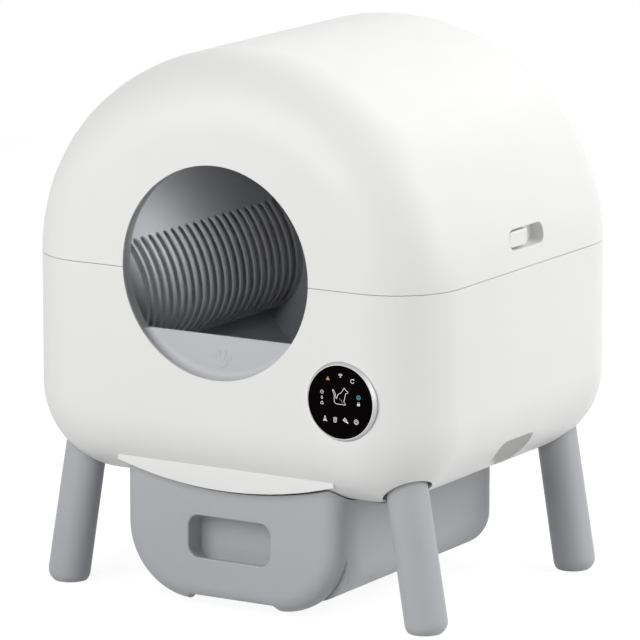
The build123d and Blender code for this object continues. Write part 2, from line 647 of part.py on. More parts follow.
# Legs, their pads, sockets, studs, load cells and nuts
LEG_TAPER = LEG_FOOT_RADIUS - LEG_TOP_RADIUS
SOCKET_BORE = LEG_TOP_RADIUS + SEAT_GAP + LEG_TAPER * SOCKET_DEPTH / LEG_LENGTH
SOCKET_RADIUS = SOCKET_BORE + SOCKET_WALL
SOCKET_TOP = LEG_LENGTH + SEAT_GAP + SOCKET_WALL
STUD_TOP = SOCKET_TOP + CELL_THICKNESS + NUT_HEIGHT + SCREW_HEAD_HEIGHT
for leg_name, (leg_side, leg_y) in LEG_PLACES.items():
    leg_foot = (leg_side * LEG_X, leg_y, 0)
    leg_axis = Axis(leg_foot, LEG_DIRECTION[leg_side])
    leg_section = Plane(origin=leg_foot, x_dir=LEG_ACROSS[leg_side], z_dir=(0, -1, 0))
    with BuildPart() as leg:
        with BuildSketch(leg_section):
            with BuildLine():
                Polyline((0, -LEG_TRIM), (LEG_FOOT_RADIUS, -LEG_TRIM), (LEG_TOP_RADIUS, LEG_LENGTH),
                         (0, LEG_LENGTH), (0, -LEG_TRIM))
            make_face()
        revolve(axis=leg_axis)
        fillet(leg.edges().group_by(Axis.Z)[0], radius=LEG_FOOT_ROUND)
        split(bisect_by=Plane.XY.offset(PAD_PROUD), keep=Keep.TOP)
        with BuildSketch(level_plane(0, leg_side * LEG_X, leg_y)):
            Circle(PAD_RADIUS + SCREW_GAP)
        extrude(amount=PAD_THICKNESS, mode=Mode.SUBTRACT)
        with BuildSketch(leg_plane(leg_side, leg_y, LEG_LENGTH)):
            Circle(STUD_RADIUS + SCREW_GAP)
        extrude(amount=-STUD_GRIP, mode=Mode.SUBTRACT)
    save(leg.part, f"leg_{leg_name}")

with BuildPart() as foot_pads:
    for leg_side, leg_y in LEG_PLACES.values():
        with BuildSketch(level_plane(0, leg_side * LEG_X, leg_y)):
            Circle(PAD_RADIUS)
        extrude(amount=PAD_THICKNESS)
save(foot_pads.part, "foot_pads")

with BuildPart() as leg_sockets:
    for leg_side, leg_y in LEG_PLACES.values():
        with BuildSketch(leg_plane(leg_side, leg_y, LEG_LENGTH - SOCKET_DEPTH)):
            Circle(SOCKET_RADIUS)
        extrude(amount=SOCKET_TOP - LEG_LENGTH + SOCKET_DEPTH)
    add(body_seat, mode=Mode.INTERSECT)
    for leg_side, leg_y in LEG_PLACES.values():
        with BuildSketch(leg_plane(leg_side, leg_y, LEG_LENGTH + SEAT_GAP)):
            Circle(SOCKET_BORE)
        extrude(amount=-LEG_LENGTH, mode=Mode.SUBTRACT)
        with BuildSketch(leg_plane(leg_side, leg_y, LEG_LENGTH)):
            Circle(STUD_RADIUS + SCREW_GAP)
        extrude(amount=OVERRUN, mode=Mode.SUBTRACT)
save(leg_sockets.part, "leg_sockets")

with BuildPart() as leg_studs:
    for leg_side, leg_y in LEG_PLACES.values():
        with BuildSketch(leg_plane(leg_side, leg_y, LEG_LENGTH - STUD_GRIP)):
            Circle(STUD_RADIUS)
        extrude(amount=STUD_TOP - LEG_LENGTH + STUD_GRIP)
save(leg_studs.part, "leg_studs")

with BuildPart() as load_cells:
    for leg_side, leg_y in LEG_PLACES.values():
        with BuildSketch(leg_plane(leg_side, leg_y, SOCKET_TOP)):
            Rectangle(CELL_SIZE, CELL_SIZE)
            Circle(STUD_RADIUS + SCREW_GAP, mode=Mode.SUBTRACT)
        extrude(amount=CELL_THICKNESS)
save(load_cells.part, "load_cells")

with BuildPart() as leg_nuts:
    for leg_side, leg_y in LEG_PLACES.values():
        with BuildSketch(leg_plane(leg_side, leg_y, SOCKET_TOP + CELL_THICKNESS)):
            RegularPolygon(NUT_RADIUS, 6)
            Circle(STUD_RADIUS + SCREW_GAP, mode=Mode.SUBTRACT)
        extrude(amount=NUT_HEIGHT)
save(leg_nuts.part, "leg_nuts")


# Drum
def drum_room(inset):
    """Inside of the drum, drawn in by the inset."""
    front = DRUM_FRONT_Y + DRUM_WALL + inset
    rear = DRUM_BACK_Y - inset
    radius = DRUM_RADIUS - DRUM_WALL - inset
    turn = DRUM_TURN - DRUM_WALL - inset
    with BuildPart() as room:
        with BuildSketch(side_plane(0, z=DRUM_AXIS_HEIGHT)):
            with BuildLine():
                Polyline((front + turn, radius), (rear, radius), (rear, 0), (front, 0),
                         (front, radius - turn))
                CenterArc((front + turn, radius - turn), turn, 90, 90)
            make_face()
        revolve(axis=DRUM_AXIS)
    return room.part


# Sill across the entry's lower part, dished where it meets the neck
with BuildPart() as drum_sill:
    with BuildSketch(side_plane(0, z=DRUM_AXIS_HEIGHT)):
        with BuildLine():
            sill_rear_y = DRUM_FRONT_Y + SILL_WALL
            sill_rim_y = DRUM_FRONT_Y - SILL_BLEND
            neck_middle = NECK_INNER + NECK_WALL / 2
            Polyline((DRUM_FRONT_Y, NECK_INNER - SILL_BLEND), (DRUM_FRONT_Y, 0), (sill_rear_y, 0),
                     (sill_rear_y, neck_middle), (sill_rim_y, neck_middle), (sill_rim_y, NECK_INNER))
            CenterArc((sill_rim_y, NECK_INNER - SILL_BLEND), SILL_BLEND, 0, 90)
        make_face()
    revolve(axis=DRUM_AXIS)
    split(bisect_by=Plane.XY.offset(DRUM_AXIS_HEIGHT - SILL_BELOW_AXIS), keep=Keep.BOTTOM)
    chamfer(drum_sill.edges().filter_by(Axis.X).group_by(Axis.Y)[0], length=SILL_EDGE)

with BuildPart() as drum_front:
    with BuildSketch(side_plane(0, z=DRUM_AXIS_HEIGHT)):
        with BuildLine():
            turn_y = DRUM_FRONT_Y + DRUM_TURN
            turn_r = DRUM_RADIUS - DRUM_TURN
            neck_y = BODY_FRONT_Y + SHELL_WALL + NECK_GAP
            Polyline((DRUM_FRONT_Y, turn_r), (DRUM_FRONT_Y, NECK_OUTER), (neck_y, NECK_OUTER),
                     (neck_y, NECK_INNER), (DRUM_FRONT_Y + DRUM_WALL, NECK_INNER),
                     (DRUM_FRONT_Y + DRUM_WALL, turn_r))
            CenterArc((turn_y, turn_r), DRUM_TURN - DRUM_WALL, 90, 90)
            Polyline((turn_y, DRUM_RADIUS - DRUM_WALL), (DRUM_JOINT_Y, DRUM_RADIUS - DRUM_WALL),
                     (DRUM_JOINT_Y, DRUM_RADIUS), (turn_y, DRUM_RADIUS))
            CenterArc((turn_y, turn_r), DRUM_TURN, 90, 90)
        make_face()
    revolve(axis=DRUM_AXIS)
    rim_edges = drum_front.edges().filter_by(GeomType.CIRCLE)
    fillet(rim_edges.filter_by(lambda e: abs(e.radius - NECK_INNER) < NECK_ROLL), radius=NECK_ROLL)
    add(drum_sill.part)
    with BuildSketch(front_plane(DRUM_FRONT_Y, z=DRUM_AXIS_HEIGHT - PAW_BELOW_AXIS)):
        Ellipse(PAW_PAD_WIDTH / 2, PAW_PAD_HEIGHT / 2)
        with PolarLocations(PAW_SPREAD, PAW_TOE_COUNT, start_angle=PAW_TOE_FIRST_ANGLE,
                            angular_range=PAW_TOE_SWEEP_ANGLE, endpoint=True):
            Ellipse(PAW_TOE_HEIGHT / 2, PAW_TOE_WIDTH / 2)
    extrude(amount=PAW_HEIGHT)
save(drum_front.part, "drum_front")

with BuildPart() as drum_shell:
    with BuildSketch(front_plane(DRUM_BACK_Y, z=DRUM_AXIS_HEIGHT)):
        Circle(DRUM_RADIUS)
        Circle(DRUM_RADIUS - DRUM_WALL, mode=Mode.SUBTRACT)
    extrude(amount=DRUM_BACK_Y - DRUM_JOINT_Y)
    with BuildSketch(level_plane(DRUM_AXIS_HEIGHT, y=CHUTE_Y)):
        RectangleRounded(CHUTE_WIDTH - 2 * PORT_SIDE_INSET, CHUTE_LENGTH - 2 * PORT_END_INSET,
                         PORT_CORNER)
    extrude(amount=DRUM_RADIUS + OVERRUN, mode=Mode.SUBTRACT)
save(drum_shell.part, "drum_shell")

# Gears, drawn as involute outlines with a little backlash
RING_TEETH = round(2 * (DRUM_RADIUS - RING_MARGIN) / GEAR_MODULE)
RING_PITCH_RADIUS = GEAR_MODULE * RING_TEETH / 2
PINION_PITCH_RADIUS = GEAR_MODULE * PINION_TEETH / 2
PINION_ORBIT = RING_PITCH_RADIUS + PINION_PITCH_RADIUS + MESH_GAP
PINION_X = PINION_ORBIT * cos(radians(PINION_ANGLE))
PINION_Z = DRUM_AXIS_HEIGHT + PINION_ORBIT * sin(radians(PINION_ANGLE))
FLANK_SHARES = (0.0, 0.35, 0.7, 1.0)


def gear_points(teeth, turn):
    """Outline of a spur gear with one tooth centred on the turn, in degrees."""
    pitch_radius = GEAR_MODULE * teeth / 2
    base_radius = pitch_radius * cos(radians(PRESSURE_ANGLE))
    root_radius = pitch_radius - GEAR_MODULE * DEDENDUM_SHARE
    tip_radius = pitch_radius + GEAR_MODULE * ADDENDUM_SHARE
    start_radius = max(base_radius, root_radius)
    half_pitch = (pi * GEAR_MODULE / 2 - TOOTH_BACKLASH) / (2 * pitch_radius)
    lean = tan(radians(PRESSURE_ANGLE)) - radians(PRESSURE_ANGLE)
    flank = []
    for share in FLANK_SHARES:
        radius = start_radius + share * (tip_radius - start_radius)
        roll = acos(min(1.0, base_radius / radius))
        flank.append((radius, half_pitch + lean - (tan(roll) - roll)))
    if root_radius < base_radius:
        flank.insert(0, (root_radius, flank[0][1]))
    points = []
    for tooth in range(teeth):
        centre = radians(turn) + 2 * pi * tooth / teeth
        points += [(r * cos(centre - a), r * sin(centre - a)) for r, a in flank]
        points += [(r * cos(centre + a), r * sin(centre + a)) for r, a in reversed(flank)]
    return points


RING_SCREW_ORBIT = RING_PITCH_RADIUS - GEAR_MODULE * DEDENDUM_SHARE - RING_RIM / 2
RING_INNER = RING_SCREW_ORBIT - RING_RIM / 2
MAGNET_ORBIT = RING_INNER - MAGNET_FROM_RING
RING_SCREW_TURNS = [2 * pi * k / RING_SCREW_COUNT for k in range(RING_SCREW_COUNT)]
RING_SCREWS = [
    Plane(origin=(RING_SCREW_ORBIT * cos(turn), DRUM_REAR_Y + GEAR_WIDTH,
                  DRUM_AXIS_HEIGHT + RING_SCREW_ORBIT * sin(turn)), x_dir=(1, 0, 0), z_dir=(0, 1, 0))
    for turn in RING_SCREW_TURNS
]
with BuildPart() as ring_gear:
    with BuildSketch(front_plane(DRUM_REAR_Y, z=DRUM_AXIS_HEIGHT)):
        with BuildLine():
            Polyline(gear_points(RING_TEETH, PINION_ANGLE + 180 / RING_TEETH), close=True)
        make_face()
        Circle(RING_INNER, mode=Mode.SUBTRACT)
    extrude(amount=-GEAR_WIDTH)
    add(screw_holes(RING_SCREWS, GEAR_WIDTH + DRUM_WALL), mode=Mode.SUBTRACT)
save(ring_gear.part, "ring_gear")
save(screw_group(RING_SCREWS, GEAR_WIDTH + SCREW_BITE), "ring_screws")

with BuildPart() as drive_pinion:
    with BuildSketch(front_plane(DRUM_REAR_Y + PINION_END_GAP, PINION_X, PINION_Z)):
        with BuildLine():
            Polyline(gear_points(PINION_TEETH, PINION_ANGLE + 180), close=True)
        make_face()
        Circle(DRIVE_SHAFT_RADIUS + SCREW_GAP, mode=Mode.SUBTRACT)
    extrude(amount=-(GEAR_WIDTH - PINION_END_GAP))
save(drive_pinion.part, "drive_pinion")

with BuildPart() as drive_shaft:
    with BuildSketch(front_plane(DRUM_REAR_Y + PINION_END_GAP, PINION_X, PINION_Z)):
        Circle(DRIVE_SHAFT_RADIUS)
    extrude(amount=-(BULKHEAD_REAR_Y - DRUM_REAR_Y - PINION_END_GAP - SEAT_GAP))
save(drive_shaft.part, "drive_shaft")

SHAFT_START_Y = DRUM_REAR_Y + HUB_HEIGHT
BUSH_END_Y = BULKHEAD_Y + BUSH_LENGTH
CLIP_Y = BUSH_END_Y + CLIP_THICKNESS
with BuildPart() as drum_back:
    with BuildSketch(front_plane(DRUM_BACK_Y, z=DRUM_AXIS_HEIGHT)):
        Circle(DRUM_RADIUS)
    extrude(amount=-DRUM_WALL)
    with BuildSketch(front_plane(DRUM_REAR_Y, z=DRUM_AXIS_HEIGHT)):
        Circle(HUB_RADIUS)
    extrude(amount=-HUB_HEIGHT)
    with BuildSketch(front_plane(SHAFT_START_Y, z=DRUM_AXIS_HEIGHT)):
        Circle(HUB_SHAFT_RADIUS + SCREW_GAP)
    extrude(amount=HUB_HEIGHT, mode=Mode.SUBTRACT)
    add(screw_holes(RING_SCREWS, GEAR_WIDTH + SCREW_BITE + SCREW_GAP), mode=Mode.SUBTRACT)
save(drum_back.part, "drum_back")

with BuildPart() as hub_shaft:
    with BuildSketch(front_plane(DRUM_REAR_Y, z=DRUM_AXIS_HEIGHT)):
        Circle(HUB_SHAFT_RADIUS)
    extrude(amount=-(CLIP_Y + CLIP_THICKNESS + SHAFT_END - DRUM_REAR_Y))
    with BuildSketch(front_plane(CLIP_Y, z=DRUM_AXIS_HEIGHT)):
        Circle(HUB_SHAFT_RADIUS)
        Circle(HUB_SHAFT_RADIUS - CLIP_GROOVE, mode=Mode.SUBTRACT)
    extrude(amount=-CLIP_THICKNESS, mode=Mode.SUBTRACT)
save(hub_shaft.part, "hub_shaft")

with BuildPart() as hub_clip:
    with BuildSketch(front_plane(CLIP_Y, z=DRUM_AXIS_HEIGHT)):
        Circle(HUB_SHAFT_RADIUS + CLIP_WALL)
        Circle(HUB_SHAFT_RADIUS - CLIP_GROOVE + SCREW_GAP, mode=Mode.SUBTRACT)
        with Locations((0, -HUB_SHAFT_RADIUS)):
            Rectangle(HUB_SHAFT_RADIUS, 2 * HUB_SHAFT_RADIUS, mode=Mode.SUBTRACT)
    extrude(amount=-CLIP_THICKNESS)
save(hub_clip.part, "hub_clip")

with BuildPart() as drum_magnets:
    with BuildSketch(front_plane(DRUM_REAR_Y, z=DRUM_AXIS_HEIGHT)):
        with PolarLocations(MAGNET_ORBIT, 2, start_angle=180):
            Circle(MAGNET_RADIUS)
    extrude(amount=-MAGNET_HEIGHT)
save(drum_magnets.part, "drum_magnets")

# Sieve: a bulging panel with a row of slots
SIEVE_HIGH_X = -SIEVE_REACH - SIEVE_HIGH_RADIUS
SIEVE_LOW_X = -SIEVE_REACH - SIEVE_LOW_RADIUS


def sieve_point(centre_x, radius, angle):
    """A point of the sieve's section, measured from the drum's axis."""
    return (centre_x + radius * cos(radians(angle)), -SIEVE_DROP + radius * sin(radians(angle)))


def sieve_band(low_angle, straight, face_inset, wall):
    """Section of the sieve panel between a low angle and the end of its straight top."""
    high_out = SIEVE_HIGH_RADIUS - face_inset
    low_out = SIEVE_LOW_RADIUS - face_inset
    high_in = high_out - wall
    low_in = low_out - wall
    rise = (-straight * sin(radians(SIEVE_HIGH_ANGLE)), straight * cos(radians(SIEVE_HIGH_ANGLE)))
    outer_top = sieve_point(SIEVE_HIGH_X, high_out, SIEVE_HIGH_ANGLE)
    inner_top = sieve_point(SIEVE_HIGH_X, high_in, SIEVE_HIGH_ANGLE)
    outer_end = (outer_top[0] + rise[0], outer_top[1] + rise[1])
    inner_end = (inner_top[0] + rise[0], inner_top[1] + rise[1])
    outer_low = sieve_point(SIEVE_LOW_X, low_out, -low_angle)
    inner_low = sieve_point(SIEVE_LOW_X, low_in, -low_angle)
    with BuildLine() as edge:
        CenterArc((SIEVE_HIGH_X, -SIEVE_DROP), high_out, 0, SIEVE_HIGH_ANGLE)
        if straight > 0:
            Polyline(outer_top, outer_end, inner_end, inner_top)
        else:
            Line(outer_top, inner_top)
        CenterArc((SIEVE_HIGH_X, -SIEVE_DROP), high_in, 0, SIEVE_HIGH_ANGLE)
        CenterArc((SIEVE_LOW_X, -SIEVE_DROP), low_in, -low_angle, low_angle)
        Line(inner_low, outer_low)
        CenterArc((SIEVE_LOW_X, -SIEVE_DROP), low_out, -low_angle, low_angle)
    return edge.line


SIEVE_SLOT_Y = BODY_FRONT_Y + SIEVE_SLOT_FROM_FRONT
SIEVE_SLOT_RUN = DRUM_BACK_Y - SIEVE_SLOT_FROM_REAR - SIEVE_SLOT_Y
SIEVE_SLOT_COUNT = int(SIEVE_SLOT_RUN / SIEVE_SLOT_PITCH) + 1
SIEVE_SLOT_YS = [SIEVE_SLOT_Y + k * SIEVE_SLOT_PITCH for k in range(SIEVE_SLOT_COUNT)]
with BuildPart() as sieve_slot:
    with BuildSketch(front_plane(SIEVE_SLOT_WIDTH / 2, z=DRUM_AXIS_HEIGHT)):
        add(sieve_band(SIEVE_SLOT_LOW_ANGLE, 0, -SIEVE_WALL, 3 * SIEVE_WALL))
        make_face()
    extrude(amount=SIEVE_SLOT_WIDTH)
    for end_x, end_radius, end_angle in (
        (SIEVE_HIGH_X, SIEVE_HIGH_RADIUS, SIEVE_HIGH_ANGLE),
        (SIEVE_LOW_X, SIEVE_LOW_RADIUS, -SIEVE_SLOT_LOW_ANGLE),
    ):
        end_at = sieve_point(end_x, end_radius + SIEVE_WALL, end_angle)
        end_out = (cos(radians(end_angle)), 0, sin(radians(end_angle)))
        end_origin = (end_at[0], 0, DRUM_AXIS_HEIGHT + end_at[1])
        with BuildSketch(Plane(origin=end_origin, x_dir=(0, 1, 0), z_dir=end_out)):
            Circle(SIEVE_SLOT_WIDTH / 2)
        extrude(amount=-3 * SIEVE_WALL)

with BuildPart() as sieve:
    with BuildSketch(front_plane(DRUM_BACK_Y, z=DRUM_AXIS_HEIGHT)):
        add(sieve_band(90, DRUM_RADIUS, 0, SIEVE_WALL))
        make_face()
    extrude(amount=DRUM_LENGTH)
    add(drum_room(SEAT_GAP), mode=Mode.INTERSECT)
    with Locations([(0, y, 0) for y in SIEVE_SLOT_YS]):
        add(sieve_slot.part, mode=Mode.SUBTRACT)
save(sieve.part, "sieve")

# Rear bulkhead with its hub bearing, standoffs and arm for the drive
CONTROL_Z = FLOOR_TOP + CONTROL_ABOVE_FLOOR
STANDOFF_ACROSS = CONTROL_WIDTH / 2 - STANDOFF_INSET
STANDOFF_UP = CONTROL_HEIGHT / 2 - STANDOFF_INSET
STANDOFFS = [
    (CONTROL_X + side * STANDOFF_ACROSS, CONTROL_Z + end * STANDOFF_UP)
    for side in (-1, 1) for end in (-1, 1)
]
BOARD_Y = BULKHEAD_REAR_Y + STANDOFF_HEIGHT
CONTROL_FACE_Y = BOARD_Y + BOARD_THICKNESS
BOARD_SCREWS = [
    Plane(origin=(x, CONTROL_FACE_Y, z), x_dir=(1, 0, 0), z_dir=(0, 1, 0)) for x, z in STANDOFFS
]
GEARBOX_SCREW_TURNS = [2 * pi * (k + 0.5) / GEARBOX_SCREW_COUNT for k in range(GEARBOX_SCREW_COUNT)]
GEARBOX_SCREWS = [
    front_plane(BULKHEAD_Y, PINION_X + GEARBOX_SCREW_ORBIT * cos(turn),
                PINION_Z + GEARBOX_SCREW_ORBIT * sin(turn))
    for turn in GEARBOX_SCREW_TURNS
]
BUSH_RADIUS = HUB_SHAFT_RADIUS + RUNNING_GAP + BUSH_WALL
with BuildPart() as rear_bulkhead:
    with BuildSketch(front_plane(BULKHEAD_Y)):
        with Locations((0, FLOOR_TOP + BULKHEAD_SHOULDER / 2)):
            Rectangle(BULKHEAD_WIDTH, BULKHEAD_SHOULDER)
        post_height = DRUM_AXIS_HEIGHT - FLOOR_TOP
        with Locations((0, FLOOR_TOP + post_height / 2)):
            Rectangle(BULKHEAD_POST, post_height)
        with Locations((0, DRUM_AXIS_HEIGHT)):
            Circle(BULKHEAD_CROWN)
        with Locations((PINION_X / 2, PINION_Z)):
            Rectangle(PINION_X, 2 * BULKHEAD_ARM)
        with Locations((PINION_X, PINION_Z)):
            Circle(BULKHEAD_ARM)
    extrude(amount=-BULKHEAD_WALL)
    with BuildSketch(level_plane(BODY_BOTTOM, y=BULKHEAD_Y - BULKHEAD_FOOT / 2)):
        Rectangle(BULKHEAD_WIDTH / 2, BULKHEAD_FOOT)
    extrude(amount=SHELL_WALL + BULKHEAD_FOOT_WALL)
    add(body_seat, mode=Mode.INTERSECT)
    with BuildSketch(front_plane(BULKHEAD_REAR_Y, z=DRUM_AXIS_HEIGHT)):
        Circle(BUSH_RADIUS + BUSH_BOSS_WALL)
    extrude(amount=-(BUSH_LENGTH - BULKHEAD_WALL))
    with BuildSketch(front_plane(BULKHEAD_REAR_Y)):
        with Locations(STANDOFFS):
            Circle(STANDOFF_RADIUS)
    extrude(amount=-STANDOFF_HEIGHT)
    with BuildSketch(front_plane(BULKHEAD_Y - OVERRUN, z=DRUM_AXIS_HEIGHT)):
        Circle(BUSH_RADIUS + SCREW_GAP)
    extrude(amount=-(2 * OVERRUN + BUSH_LENGTH), mode=Mode.SUBTRACT)
    with BuildSketch(front_plane(BULKHEAD_Y - OVERRUN, PINION_X, PINION_Z)):
        Circle(DRIVE_SHAFT_RADIUS + DRIVE_HOLE_GAP)
    extrude(amount=-(2 * OVERRUN + BULKHEAD_WALL), mode=Mode.SUBTRACT)
    add(screw_holes(FOOT_SCREWS, OVERRUN), mode=Mode.SUBTRACT)
    add(screw_holes(BOARD_SCREWS, BOARD_THICKNESS + STANDOFF_HEIGHT), mode=Mode.SUBTRACT)
    add(screw_holes(GEARBOX_SCREWS, BULKHEAD_WALL), mode=Mode.SUBTRACT)
save(rear_bulkhead.part, "rear_bulkhead")
save(screw_group(FOOT_SCREWS, BULKHEAD_FOOT_WALL + SCREW_BITE), "bulkhead_screws")

with BuildPart() as hub_bearing:
    with BuildSketch(front_plane(BULKHEAD_Y, z=DRUM_AXIS_HEIGHT)):
        Circle(BUSH_RADIUS)
        Circle(HUB_SHAFT_RADIUS + RUNNING_GAP, mode=Mode.SUBTRACT)
    extrude(amount=-BUSH_LENGTH)
save(hub_bearing.part, "hub_bearing")

with BuildPart() as gearbox:
    with BuildSketch(front_plane(BULKHEAD_REAR_Y, PINION_X, PINION_Z)):
        Circle(GEARBOX_RADIUS)
    extrude(amount=-GEARBOX_LENGTH)
    gearbox_hole = BULKHEAD_WALL + GEARBOX_SCREW_BITE + SCREW_BITE
    add(screw_holes(GEARBOX_SCREWS, gearbox_hole), mode=Mode.SUBTRACT)
save(gearbox.part, "gearbox")
save(screw_group(GEARBOX_SCREWS, BULKHEAD_WALL + GEARBOX_SCREW_BITE), "gearbox_screws")

with BuildPart() as motor_can:
    with BuildSketch(front_plane(BULKHEAD_REAR_Y + GEARBOX_LENGTH, PINION_X, PINION_Z)):
        Circle(MOTOR_RADIUS)
    extrude(amount=-MOTOR_LENGTH)
    fillet(motor_can.faces().sort_by(Axis.Y)[-1].edges(), radius=SHELL_WALL)
save(motor_can.part, "motor_can")

# Support rollers, their yokes and axles
for roller_name, roller_side in (("left", -1), ("right", 1)):
    with BuildPart() as roller:
        with BuildSketch(front_plane(ROLLER_Y - ROLLER_WIDTH / 2, roller_side * ROLLER_X, ROLLER_Z)):
            Circle(ROLLER_RADIUS)
            Circle(AXLE_RADIUS + RUNNING_GAP, mode=Mode.SUBTRACT)
        extrude(amount=-ROLLER_WIDTH)
    save(roller.part, f"roller_{roller_name}")

    with BuildPart() as yoke:
        for end in (-1, 1):
            ear_middle = ROLLER_Y + end * (YOKE_DEPTH - YOKE_WALL) / 2
            with BuildSketch(front_plane(ear_middle - YOKE_WALL / 2, roller_side * ROLLER_X)):
                ear_height = ROLLER_Z - BODY_BOTTOM
                with Locations((0, BODY_BOTTOM + ear_height / 2)):
                    Rectangle(2 * YOKE_HALF_WIDTH, ear_height)
                with Locations((0, ROLLER_Z)):
                    Circle(YOKE_HALF_WIDTH)
                    Circle(AXLE_RADIUS + SCREW_GAP, mode=Mode.SUBTRACT)
            extrude(amount=-YOKE_WALL)
        foot_x = roller_side * (ROLLER_X + YOKE_FOOT / 2)
        with BuildSketch(level_plane(BODY_BOTTOM, foot_x, ROLLER_Y)):
            Rectangle(2 * YOKE_HALF_WIDTH + YOKE_FOOT, YOKE_DEPTH)
        extrude(amount=SHELL_WALL + YOKE_FOOT_WALL)
        add(body_seat, mode=Mode.INTERSECT)
        add(screw_holes(YOKE_SCREWS, OVERRUN), mode=Mode.SUBTRACT)
    save(yoke.part, f"roller_yoke_{roller_name}")

with BuildPart() as roller_axles:
    for roller_side in (-1, 1):
        with BuildSketch(front_plane(ROLLER_Y - YOKE_DEPTH / 2, roller_side * ROLLER_X, ROLLER_Z)):
            Circle(AXLE_RADIUS)
        extrude(amount=-YOKE_DEPTH)
save(roller_axles.part, "roller_axles")
save(screw_group(YOKE_SCREWS, YOKE_FOOT_WALL + SCREW_BITE), "yoke_screws")

# Chute and its seal
with BuildPart() as chute_frame:
    extrude(chute_outline(BODY_BOTTOM, CHUTE_WALL), amount=SHELL_WALL + CHUTE_HEIGHT)
    extrude(chute_outline(FLOOR_TOP, CHUTE_WALL + CHUTE_FLANGE), amount=CHUTE_FLANGE_WALL)
    chute_bore = chute_outline(BODY_BOTTOM - OVERRUN, 0)
    extrude(chute_bore, amount=2 * OVERRUN + SHELL_WALL + CHUTE_HEIGHT, mode=Mode.SUBTRACT)
    add(screw_holes(CHUTE_SCREWS, OVERRUN), mode=Mode.SUBTRACT)
save(chute_frame.part, "chute_frame")
save(screw_group(CHUTE_SCREWS, CHUTE_FLANGE_WALL + SCREW_BITE), "chute_screws")

with BuildPart() as chute_seal:
    seal_inner = CHUTE_WALL + SEAT_GAP
    extrude(chute_outline(BODY_BOTTOM - SEAL_HEIGHT, seal_inner + SEAL_WIDTH), amount=SEAL_HEIGHT)
    seal_cut = chute_outline(BODY_BOTTOM - SEAL_HEIGHT, seal_inner)
    extrude(seal_cut, amount=SEAL_HEIGHT, mode=Mode.SUBTRACT)
save(chute_seal.part, "chute_seal")

# Waste drawer
DRAWER_FRONT_Y = BODY_FRONT_Y + DRAWER_SETBACK
BIN_FRONT_Y = DRAWER_FRONT_Y + PANEL_DEPTH
BIN_REAR_Y = BODY_REAR_Y - DRAWER_FROM_REAR
BIN_LENGTH = BIN_REAR_Y - BIN_FRONT_Y
PANEL_MIDDLE_Z = APRON_MIDDLE_Z - PANEL_TOP_GAP
HANDLE_Z = (DRAWER_BOTTOM + PANEL_MIDDLE_Z) / 2 + HANDLE_ABOVE_MIDDLE


def bin_form(inset, top):
    """The bin's outside, drawn in by the inset and closed at the top height."""
    half = BIN_HALF - inset
    bottom = DRAWER_BOTTOM + BIN_LIFT + inset
    corner = BIN_CORNER - inset
    with BuildPart() as form:
        with BuildSketch(front_plane(BIN_REAR_Y - inset)):
            with BuildLine():
                Polyline((half, bottom + corner), (half, top), (-half, top), (-half, bottom + corner))
                CenterArc((corner - half, bottom + corner), corner, 180, 90)
                Line((corner - half, bottom), (half - corner, bottom))
                CenterArc((half - corner, bottom + corner), corner, 270, 90)
            make_face()
        extrude(amount=BIN_LENGTH - 2 * inset)
        rear_edges = form.faces().sort_by(Axis.Y)[-1].edges()
        fillet(rear_edges.sort_by(Axis.Z)[:-1], radius=BIN_REAR_ROUND - inset)
    return form.part


def panel_form(inset):
    """The drawer's front panel, drawn in by the inset on every side but its rear."""
    half = DRAWER_WIDTH / 2 - inset
    bottom = DRAWER_BOTTOM + inset
    corner = DRAWER_CORNER - inset
    end_z = PANEL_MIDDLE_Z + APRON_RISE - inset
    with BuildPart() as form:
        with BuildSketch(front_plane(BIN_FRONT_Y)):
            with BuildLine():
                Line((half, bottom + corner), (half, end_z))
                ThreePointArc((half, end_z), (0, PANEL_MIDDLE_Z - inset), (-half, end_z))
                Line((-half, end_z), (-half, bottom + corner))
                CenterArc((corner - half, bottom + corner), corner, 180, 90)
                Line((corner - half, bottom), (half - corner, bottom))
                CenterArc((half - corner, bottom + corner), corner, 270, 90)
            make_face()
        extrude(amount=PANEL_DEPTH - inset)
        front_edges = form.faces().sort_by(Axis.Y)[0].edges()
        top_edge = front_edges.sort_by(lambda e: (e @ 0.5).Z)[-1]
        rounded = [edge for edge in front_edges if not edge.is_same(top_edge)]
        fillet(rounded, radius=PANEL_ROUND - inset)
    return form.part


def handle_form(grow):
    """The handle recess with its floor sloping down inwards, larger by the grow on every inner face."""
    depth = HANDLE_DEPTH + grow
    drop = radians(HANDLE_DROP_ANGLE)
    with BuildPart() as form:
        with BuildSketch(front_plane(DRAWER_FRONT_Y, z=HANDLE_Z)) as mouth_sketch:
            RectangleRounded(HANDLE_WIDTH + 2 * grow, HANDLE_HEIGHT + 2 * grow, HANDLE_CORNER + grow)
        extrude(amount=-depth)
        extrude(mouth_sketch.sketch, amount=depth / cos(drop), dir=(0, cos(drop), -sin(drop)))
    return form.part


def notch_form(grow):
    """The notch under the panel, larger by the grow on its sides and top."""
    top = DRAWER_BOTTOM + NOTCH_HEIGHT + grow
    half = NOTCH_WIDTH / 2 + grow
    flare = half + NOTCH_FLARE
    with BuildPart() as form:
        with BuildSketch(front_plane(BIN_FRONT_Y + OVERRUN)):
            with BuildLine():
                Polyline((half, top), (-half, top), (-flare, DRAWER_BOTTOM),
                         (-flare, DRAWER_BOTTOM - OVERRUN), (flare, DRAWER_BOTTOM - OVERRUN),
                         (flare, DRAWER_BOTTOM), close=True)
            make_face()
        extrude(amount=PANEL_DEPTH + 2 * OVERRUN)
    return form.part


